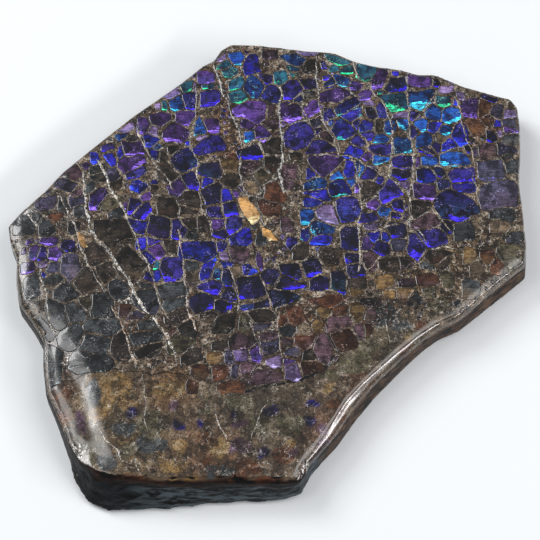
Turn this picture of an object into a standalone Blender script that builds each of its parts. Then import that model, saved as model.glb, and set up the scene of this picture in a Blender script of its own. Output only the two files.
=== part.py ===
"""Polished ammolite specimen: a slab of iridescent fossil shell in its host rock.

It is one natural piece, lying with its shell side up. Metres, +Z up. The origin is under
the middle of its outline, in the plane of its flat underside.
"""
import math
import random

import bmesh
import bpy
from mathutils import Vector, noise
from mathutils.geometry import delaunay_2d_cdt

MM = 0.001
SEED = 11

# Thickness of the slab, and the heights of its lower edges.
TOP_HEIGHT = 10.0 * MM
LOWER_EDGE_HEIGHT = 1.2 * MM
LOWER_EDGE_INSET = 1.6 * MM

# Outline seen from above, clockwise from the peak at the back. Each station is x, y, the
# width of the rolled edge and how far the foot stands out beyond the edge, in millimetres.
OUTLINE_MM = [
    (-9.5, 62.0, 1.0, 0.0),
    (-1.5, 61.5, 1.0, 0.0),
    (10.0, 60.0, 1.0, 0.0),
    (17.0, 59.5, 1.0, 0.0),
    (22.0, 57.0, 1.0, 0.0),
    (27.5, 55.5, 1.0, 0.0),
    (34.0, 54.5, 1.0, 0.0),
    (38.5, 53.0, 1.0, 0.0),
    (43.0, 53.0, 1.0, 0.0),
    (50.0, 49.5, 1.0, 0.0),
    (59.5, 46.5, 1.2, 0.0),
    (62.0, 46.0, 1.4, 0.0),
    (63.8, 43.5, 1.6, 0.0),
    (64.2, 38.0, 1.6, 0.0),
    (64.0, 31.0, 1.4, 0.0),
    (63.2, 22.0, 1.2, 0.2),
    (63.8, 13.0, 1.2, 0.4),
    (64.2, 4.5, 1.4, 0.6),
    (63.6, -0.5, 1.8, 1.0),
    (58.5, -4.5, 2.2, 1.2),
    (54.5, -8.0, 2.6, 1.0),
    (47.0, -15.0, 3.4, 0.4),
    (42.0, -17.5, 3.8, 0.2),
    (38.0, -20.5, 4.0, 0.2),
    (33.0, -25.0, 4.0, 0.4),
    (25.0, -33.0, 4.0, 0.8),
    (21.0, -38.0, 4.0, 0.8),
    (16.0, -45.5, 3.6, 0.6),
    (10.0, -52.5, 2.6, 0.4),
    (7.5, -57.0, 1.6, 0.8),
    (4.0, -57.6, 1.2, 1.4),
    (-11.5, -57.4, 1.2, 2.4),
    (-25.5, -57.5, 1.2, 3.8),
    (-37.5, -56.2, 1.4, 5.6),
    (-41.0, -55.0, 1.8, 5.0),
    (-44.5, -52.4, 2.4, 3.0),
    (-47.5, -48.0, 3.4, 1.0),
    (-51.0, -40.5, 4.4, 0.2),
    (-54.0, -34.0, 4.8, 0.0),
    (-55.0, -26.5, 4.8, 0.0),
    (-55.2, -21.0, 4.8, 0.0),
    (-58.0, -16.0, 4.4, 0.0),
    (-61.5, -11.0, 4.0, 0.0),
    (-62.5, -4.5, 3.2, 0.0),
    (-62.6, 1.5, 2.2, 0.0),
    (-64.4, 6.0, 1.6, 0.0),
    (-65.0, 10.0, 1.4, 0.0),
    (-62.0, 13.8, 1.2, 0.0),
    (-56.0, 20.0, 1.2, 0.0),
    (-52.0, 25.0, 1.0, 0.0),
    (-45.0, 31.5, 1.0, 0.0),
    (-34.5, 41.0, 1.0, 0.0),
    (-22.5, 50.5, 1.0, 0.0),
    (-17.0, 55.5, 1.0, 0.0),
    (-14.0, 57.2, 1.0, 0.0),
    (-12.5, 60.0, 1.0, 0.0),
]

# Growth ribs of the shell, from left to right, each running from back to front in millimetres.
RIBS_MM = [
    [(-67.0, 16.5), (-65.0, 2.5), (-64.0, -8.0), (-61.5, -19.0), (-53.5, -42.0)],
    [(-61.0, 20.5), (-58.0, 9.5), (-56.5, -0.5), (-52.0, -19.5), (-46.0, -33.0)],
    [(-58.0, 23.0), (-52.5, 7.0), (-49.0, -4.0), (-44.5, -17.0), (-39.0, -32.0)],
    [(-55.0, 26.0), (-47.5, 4.5), (-41.5, -7.5), (-36.0, -16.5), (-32.0, -30.0)],
    [(-48.0, 34.5), (-45.5, 16.5), (-40.0, 2.0), (-33.5, -7.5), (-25.0, -20.5), (-21.0, -32.0)],
    [(-44.0, 38.0), (-40.0, 24.5), (-33.5, 7.0), (-27.5, -8.5), (-22.0, -21.5), (-16.5, -33.0)],
    [(-40.0, 42.0), (-35.5, 27.5), (-28.5, 13.0), (-25.0, 0.0), (-20.5, -14.0), (-12.5, -33.0)],
    [(-34.0, 47.0), (-29.0, 29.0), (-23.5, 15.5), (-20.0, -0.5), (-16.5, -13.0), (-9.0, -33.0)],
    [(-27.5, 53.0), (-24.0, 36.0), (-18.5, 17.5), (-14.5, -0.5), (-11.5, -15.5), (-4.5, -33.0)],
    [(-20.5, 59.0), (-18.5, 37.5), (-13.0, 19.0), (-8.5, -0.5), (-5.5, -13.5), (0.0, -33.0)],
    [(-14.5, 64.0), (-11.5, 47.0), (-7.0, 37.5), (-6.5, 22.0), (-2.0, -3.5), (4.5, -33.0)],
    [(-8.0, 65.0), (-2.5, 47.5), (-1.5, 30.5), (0.0, 12.0), (4.0, -5.5), (9.5, -33.0)],
    [(-1.0, 65.5), (3.0, 47.5), (4.5, 30.5), (5.5, 13.5), (9.0, -1.5), (14.5, -33.0)],
    [(6.5, 64.0), (8.5, 46.0), (11.5, 27.5), (12.5, 11.0), (14.5, -4.0), (19.0, -33.0)],
    [(12.0, 64.0), (13.5, 43.0), (18.5, 24.5), (19.0, 7.5), (20.0, -11.0), (24.0, -33.0)],
    [(16.5, 64.0), (20.5, 43.0), (25.0, 27.5), (26.0, 11.0), (27.0, -11.0), (29.5, -33.0)],
    [(22.5, 62.5), (26.5, 47.0), (31.0, 35.0), (32.0, 19.5), (33.5, -5.0), (35.5, -33.0)],
    [(33.5, 59.5), (34.0, 40.5), (37.0, 26.0), (39.0, 12.5), (40.5, -11.0), (41.0, -33.0)],
    [(41.0, 58.0), (42.0, 40.5), (44.0, 24.5), (46.5, 10.0), (47.5, -19.0), (48.0, -33.0)],
    [(46.5, 56.5), (49.5, 37.5), (51.5, 20.5), (53.0, 5.5), (53.5, -11.0), (53.5, -33.0)],
    [(55.0, 53.5), (56.5, 36.0), (58.0, 19.0), (59.0, 2.5), (59.5, -11.0), (59.5, -33.0)],
    [(70.0, 56.5), (70.0, 30.5), (69.0, 2.5), (68.0, -33.0)],
]

# The ledge where the ribbed shell ends and the plain mottled layer in front of it begins.
LEDGE_MM = [(-72.0, -33.0), (-40.0, -33.0), (-22.0, -32.0), (-7.0, -36.0), (10.0, -34.0),
            (22.0, -30.0), (72.0, -24.0)]
LEDGE_DROP = 0.35 * MM
LEDGE_SLOPE_WIDTH = 4.0 * MM

# The ribbed shell is cracked across its ribs into plates, and the mottled layer into chips.
SHELL_BACK = 68.0 * MM
PLATE_LENGTH = 5.0 * MM
CROSS_CRACK_RISE = 1.6 * MM
LEDGE_MARGIN = 2.5 * MM
RIB_BEND_MARGIN = 1.2 * MM
CHIP_ROWS = 4
CHIP_LENGTH = 8.0 * MM
CHIP_JITTER = 1.3 * MM
SMALLEST_PLATE_AREA = 5.0 * MM * MM
VEIN_HALF_WIDTH = 0.42 * MM
VEIN_RISE = 0.22 * MM
VEIN_RISE_PITCH = 160.0
PLATE_LEVEL_SPREAD = 0.16 * MM
PLATE_TILT = 0.035
SWELL = 0.35 * MM
SWELL_SIZE = 26.0 * MM

# The broken front face is shell-rippled; the other sides are ground nearly smooth.
RIPPLE_PLAIN = 0.12 * MM
RIPPLE_PER_FLARE = 0.22
RIPPLE_PITCH = 210.0
RIPPLE_LEVELS = (0.35, 0.7)
ROLL_DROP = 0.75


def clear_scene():
    """Remove whatever the scene holds."""
    for thing in list(bpy.data.objects):
        bpy.data.objects.remove(thing, do_unlink=True)


def stone_material():
    """Polished dark brown rock with a violet-blue shell sheen."""
    material = bpy.data.materials.new("ammolite_stone")
    material.use_nodes = True
    shader = material.node_tree.nodes["Principled BSDF"]
    shader.inputs["Base Color"].default_value = (0.075, 0.045, 0.110, 1.0)
    shader.inputs["Roughness"].default_value = 0.16
    shader.inputs["Metallic"].default_value = 0.0
    material.diffuse_color = (0.075, 0.045, 0.110, 1.0)
    return material


def rib_x(rib, y):
    """The x at which a rib passes y, carried straight on past its ends."""
    for (x1, y1), (x2, y2) in zip(rib, rib[1:]):
        if y >= y2 or (x2, y2) == rib[-1]:
            return x1 + (x2 - x1) * (y1 - y) / (y1 - y2)


def ledge_y(ledge, x):
    """The y at which the ledge passes x."""
    for (x1, y1), (x2, y2) in zip(ledge, ledge[1:]):
        if x <= x2 or (x2, y2) == ledge[-1]:
            return y1 + (y2 - y1) * (x - x1) / (x2 - x1)


def scaled(points):
    """Points given in millimetres, in metres."""
    return [(x * MM, y * MM) for x, y in points]


def swell(x, y):
    """Slow rise and fall of the polished top."""
    return SWELL * noise.noise(Vector((x / SWELL_SIZE, y / SWELL_SIZE, 3.7)))


def top_surface(x, y, ledge):
    """Height of the top at x, y, with the step down in front of the ledge."""
    below = ledge_y(ledge, x) - y
    step = min(max(below / LEDGE_SLOPE_WIDTH, 0.0), 1.0)
    return TOP_HEIGHT + swell(x, y) - LEDGE_DROP * step


def outline_stations():
    """Outline points with their outward direction, edge roll and foot flare, in metres."""
    count = len(OUTLINE_MM)
    stations = []
    for index, (x, y, roll, flare) in enumerate(OUTLINE_MM):
        before = OUTLINE_MM[index - 1]
        after = OUTLINE_MM[(index + 1) % count]
        along = Vector((after[0] - before[0], after[1] - before[1])).normalized()
        outward = Vector((-along.y, along.x))
        stations.append((Vector((x * MM, y * MM)), outward, roll * MM, flare * MM))
    return stations


class CrackMap:
    """Cracks seen from above: points, and the pairs of points that a crack joins."""

    def __init__(self):
        self.points = []
        self.pairs = []

    def add(self, x, y):
        self.points.append(Vector((x, y)))
        return len(self.points) - 1

    def join(self, stops):
        """Run one crack through stops, each a position along it and a point's index."""
        ordered = [index for _, index in sorted(stops)]
        self.pairs.extend(zip(ordered, ordered[1:]))


def crack_ribbed_shell(cracks, rng, ledge):
    """Ribs and the short cracks that part each column into plates. Returns the ribs' feet."""
    ribs = [scaled(rib) for rib in RIBS_MM]
    rib_stops = [[] for _ in ribs]
    for column, (left, right) in enumerate(zip(ribs, ribs[1:])):
        y_left = SHELL_BACK + rng.uniform(0.0, PLATE_LENGTH)
        while True:
            y_left -= PLATE_LENGTH * rng.uniform(0.72, 1.28)
            y_right = y_left + CROSS_CRACK_RISE * rng.uniform(0.2, 1.0)
            x_left = rib_x(left, y_left)
            x_right = rib_x(right, y_right)
            if y_left < ledge_y(ledge, x_left) + LEDGE_MARGIN:
                break
            if y_right < ledge_y(ledge, x_right) + LEDGE_MARGIN:
                break
            start = cracks.add(x_left, y_left)
            end = cracks.add(x_right, y_right)
            cracks.pairs.append((start, end))
            rib_stops[column].append((y_left, start))
            rib_stops[column + 1].append((y_right, end))
    feet = []
    for rib, stops in zip(ribs, rib_stops):
        for x, y in rib:
            clear = all(abs(y - other) > RIB_BEND_MARGIN for other, _ in stops)
            if clear and y > ledge_y(ledge, x) + LEDGE_MARGIN:
                stops.append((y, cracks.add(x, y)))
        foot_x = rib[-1][0]
        for _ in range(3):
            foot_x = rib_x(rib, ledge_y(ledge, foot_x))
        foot_y = ledge_y(ledge, foot_x)
        foot = cracks.add(foot_x, foot_y)
        stops.append((foot_y, foot))
        cracks.join(stops)
        feet.append((foot_x, foot))
    return feet


def crack_mottled_layer(cracks, rng, ledge, ledge_stops):
    """Irregular chips in rows in front of the ledge, each row cut across."""
    left_end, right_end = ledge[0][0], ledge[-1][0]
    upper = []
    depth = 0.0
    for row in range(CHIP_ROWS):
        depth += CHIP_LENGTH * rng.uniform(0.85, 1.1)
        lower = []
        x = left_end + CHIP_LENGTH * (0.3 + 0.5 * (row % 2))
        while x < right_end:
            y = ledge_y(ledge, x) - depth + CHIP_JITTER * rng.uniform(-1.0, 1.0)
            lower.append((x, cracks.add(x, y)))
            x += CHIP_LENGTH * rng.uniform(0.8, 1.3)
        for x, index in lower:
            if upper:
                head = min(upper, key=lambda stop: abs(stop[0] - x + CHIP_JITTER))[1]
            else:
                head = cracks.add(x, ledge_y(ledge, x))
                ledge_stops.append((x, head))
            cracks.pairs.append((index, head))
        cracks.join(lower)
        upper = lower


def crack_map(rng):
    """All the cracks of the top."""
    ledge = scaled(LEDGE_MM)
    cracks = CrackMap()
    ledge_stops = crack_ribbed_shell(cracks, rng, ledge)
    crack_mottled_layer(cracks, rng, ledge, ledge_stops)
    for x, y in (ledge[0], ledge[-1]):
        ledge_stops.append((x, cracks.add(x, y)))
    cracks.join(ledge_stops)
    return cracks


def mosaic(boundary, cracks):
    """Cells of the top as one mesh, from the cracks inside the boundary."""
    first = len(cracks.points)
    loop = list(range(first, first + len(boundary)))
    loop.reverse()
    result = delaunay_2d_cdt(cracks.points + boundary, cracks.pairs, [loop], 3, 1e-5)
    places, faces, owners = result[0], result[2], result[5]
    mesh = bmesh.new()
    vertices = {}
    for face, owner in zip(faces, owners):
        if not owner:
            continue
        for index in face:
            if index not in vertices:
                vertices[index] = mesh.verts.new(places[index].to_3d())
        mesh.faces.new([vertices[index] for index in face])
    bmesh.ops.recalc_face_normals(mesh, faces=mesh.faces)
    return mesh


def join_small_cells(mesh):
    """Join each cell too small for a plate to the neighbour with the longest shared edge."""
    for _ in range(len(mesh.faces)):
        cell = min(mesh.faces, key=lambda face: face.calc_area())
        if cell.calc_area() > SMALLEST_PLATE_AREA:
            return
        shared = [edge for edge in cell.edges if not edge.is_boundary]
        longest = max(shared, key=lambda edge: edge.calc_length())
        bmesh.ops.dissolve_edges(mesh, edges=[longest], use_verts=False)


def raise_plates(mesh, rng, ledge):
    """Part every cell into a plate and the veins around it, and set all the heights."""
    plates = bmesh.ops.extrude_discrete_faces(mesh, faces=mesh.faces[:])["faces"]
    for plate in plates:
        centre = plate.calc_center_median_weighted()
        half_width = 0.45 * math.sqrt(plate.calc_area())
        shrink = 1.0 - min(VEIN_HALF_WIDTH / half_width, 0.3)
        for vertex in plate.verts:
            vertex.co = centre + (vertex.co - centre) * shrink
    plate_vertices = {vertex for plate in plates for vertex in plate.verts}
    for vertex in mesh.verts:
        height = top_surface(vertex.co.x, vertex.co.y, ledge)
        if vertex not in plate_vertices and not vertex.is_boundary:
            height += VEIN_RISE * noise.noise(vertex.co * VEIN_RISE_PITCH)
        vertex.co.z = height
    for plate in plates:
        centre = plate.calc_center_median()
        level = rng.uniform(-PLATE_LEVEL_SPREAD, PLATE_LEVEL_SPREAD)
        tilt_x = rng.uniform(-PLATE_TILT, PLATE_TILT)
        tilt_y = rng.uniform(-PLATE_TILT, PLATE_TILT)
        base = top_surface(centre.x, centre.y, ledge)
        for vertex in plate.verts:
            away = vertex.co - centre
            vertex.co.z = base + level + tilt_x * away.x + tilt_y * away.y


def side_profile(roll, flare, ripple):
    """Steps out and down from the edge of the top to the underside: offset and height."""
    drop = ROLL_DROP * roll
    steps = []
    for turn in (math.radians(30.0), math.radians(60.0), math.radians(90.0)):
        steps.append((-roll * (1.0 - math.sin(turn)), TOP_HEIGHT - drop * (1.0 - math.cos(turn))))
    shoulder = TOP_HEIGHT - drop
    for share, bump in ripple:
        height = shoulder + (LOWER_EDGE_HEIGHT - shoulder) * share
        steps.append((flare * share + bump, height))
    steps.append((flare, LOWER_EDGE_HEIGHT))
    steps.append((flare - LOWER_EDGE_INSET, 0.0))
    return steps


def place_on_outline(point, inner, stations):
    """Outer edge point, direction, roll and flare beside a point of the top's boundary."""
    count = len(inner)
    best = None
    for index in range(count):
        start = inner[index]
        span = inner[(index + 1) % count] - start
        share = min(max((point - start).dot(span) / span.length_squared, 0.0), 1.0)
        distance = (start + span * share - point).length
        if best is None or distance < best[0]:
            best = (distance, index, share)
    _, index, share = best
    here = stations[index]
    there = stations[(index + 1) % count]
    edge = here[0].lerp(there[0], share)
    outward = here[1].lerp(there[1], share).normalized()
    roll = here[2] + (there[2] - here[2]) * share
    flare = here[3] + (there[3] - here[3]) * share
    return edge, outward, roll, flare


def close_sides(mesh, inner, stations):
    """Loft the rolled edge, the side and the underside down from the boundary of the top."""
    rim_edge = next(edge for edge in mesh.edges if edge.is_boundary)
    start = rim_edge.link_loops[0].vert
    ring = [start]
    edge = rim_edge
    while True:
        vertex = edge.other_vert(ring[-1])
        if vertex is start:
            break
        ring.append(vertex)
        edge = next(e for e in vertex.link_edges if e.is_boundary and e is not edge)
    columns = []
    for vertex in ring:
        flat = Vector((vertex.co.x, vertex.co.y))
        place, outward, roll, flare = place_on_outline(flat, inner, stations)
        amount = RIPPLE_PLAIN + RIPPLE_PER_FLARE * flare
        ripple = []
        for share in RIPPLE_LEVELS:
            bump = noise.noise(Vector((place.x, place.y, share * TOP_HEIGHT)) * RIPPLE_PITCH)
            ripple.append((share, amount * bump))
        lift = vertex.co.z - TOP_HEIGHT
        column = [vertex]
        for offset, height in side_profile(roll, flare, ripple):
            spot = place + outward * offset
            fade = max(height - LOWER_EDGE_HEIGHT, 0.0) / (TOP_HEIGHT - LOWER_EDGE_HEIGHT)
            column.append(mesh.verts.new((spot.x, spot.y, height + lift * fade)))
        columns.append(column)
    for index, column in enumerate(columns):
        following = columns[(index + 1) % len(columns)]
        for level in range(len(column) - 1):
            mesh.faces.new((column[level], column[level + 1],
                            following[level + 1], following[level]))
    mesh.faces.new([column[-1] for column in columns])


def centre_on_origin(mesh):
    """Bring the middle of the outline over the origin."""
    for axis in (0, 1):
        places = [vertex.co[axis] for vertex in mesh.verts]
        middle = (min(places) + max(places)) / 2.0
        for vertex in mesh.verts:
            vertex.co[axis] -= middle


def ammolite_slab():
    """The whole specimen as one closed solid."""
    rng = random.Random(SEED)
    ledge = scaled(LEDGE_MM)
    stations = outline_stations()
    inner = [place - outward * roll for place, outward, roll, _ in stations]
    mesh = mosaic(inner, crack_map(rng))
    join_small_cells(mesh)
    raise_plates(mesh, rng, ledge)
    close_sides(mesh, inner, stations)
    centre_on_origin(mesh)
    bmesh.ops.recalc_face_normals(mesh, faces=mesh.faces)
    bmesh.ops.triangulate(mesh, faces=mesh.faces)
    data = bpy.data.meshes.new("ammolite_slab")
    mesh.to_mesh(data)
    mesh.free()
    data.materials.append(stone_material())
    return bpy.data.objects.new("ammolite_slab", data)


def main():
    clear_scene()
    collection = bpy.data.collections.new("ammolite specimen")
    bpy.context.scene.collection.children.link(collection)
    collection.objects.link(ammolite_slab())


main()
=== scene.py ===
"""Looks of the ammolite specimen: a polished slab of cracked, iridescent shell on dark rock."""
import math
import random

import bmesh
import bpy
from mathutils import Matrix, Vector, noise
from mathutils.bvhtree import BVHTree
from mathutils.kdtree import KDTree


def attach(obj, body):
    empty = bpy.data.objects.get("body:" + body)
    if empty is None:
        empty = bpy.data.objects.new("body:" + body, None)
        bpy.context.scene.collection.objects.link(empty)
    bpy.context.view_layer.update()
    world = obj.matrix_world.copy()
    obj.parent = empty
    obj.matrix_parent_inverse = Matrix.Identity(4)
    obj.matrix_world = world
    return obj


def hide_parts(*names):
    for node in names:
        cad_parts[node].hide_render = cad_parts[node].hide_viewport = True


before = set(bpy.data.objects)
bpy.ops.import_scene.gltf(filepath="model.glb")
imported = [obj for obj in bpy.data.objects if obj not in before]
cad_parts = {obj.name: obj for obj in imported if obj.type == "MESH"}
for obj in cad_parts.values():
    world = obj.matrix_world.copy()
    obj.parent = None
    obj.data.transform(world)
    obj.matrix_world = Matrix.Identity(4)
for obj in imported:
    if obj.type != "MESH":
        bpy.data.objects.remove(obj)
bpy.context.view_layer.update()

MM = 0.001
SEED = 23
NODE = "ammolite_slab"

# The photograph's view: pixels of a 540 x 540 frame, seen by a camera above the front edge.
PHOTO_SIZE = 540
CAMERA_ELEVATION = math.radians(66.0)
CAMERA_DISTANCE = 0.55
VIEW_WIDTH = 0.135
CAMERA_TARGET = Vector((0.5 * MM, 0.15 * MM, 4.0 * MM))
SENSOR_WIDTH = 36.0

PIXEL = VIEW_WIDTH / PHOTO_SIZE

TOP_HEIGHT = 10.0 * MM
EDGE_HEIGHT = 8.4 * MM
GRAIN = 0.6 * MM
RIM_HEIGHT = 8.5 * MM
CRUMB_TRIES = 2600
PLATE_GROWTH = 1.62

# The ledge where the ribbed shell ends and the mottled layer in front of it begins.
LEDGE = [(-10, 384), (45, 380), (98, 371), (150, 368), (185, 369), (240, 389), (285, 381),
         (312, 376), (335, 362), (370, 330), (420, 318), (560, 300)]

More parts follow.
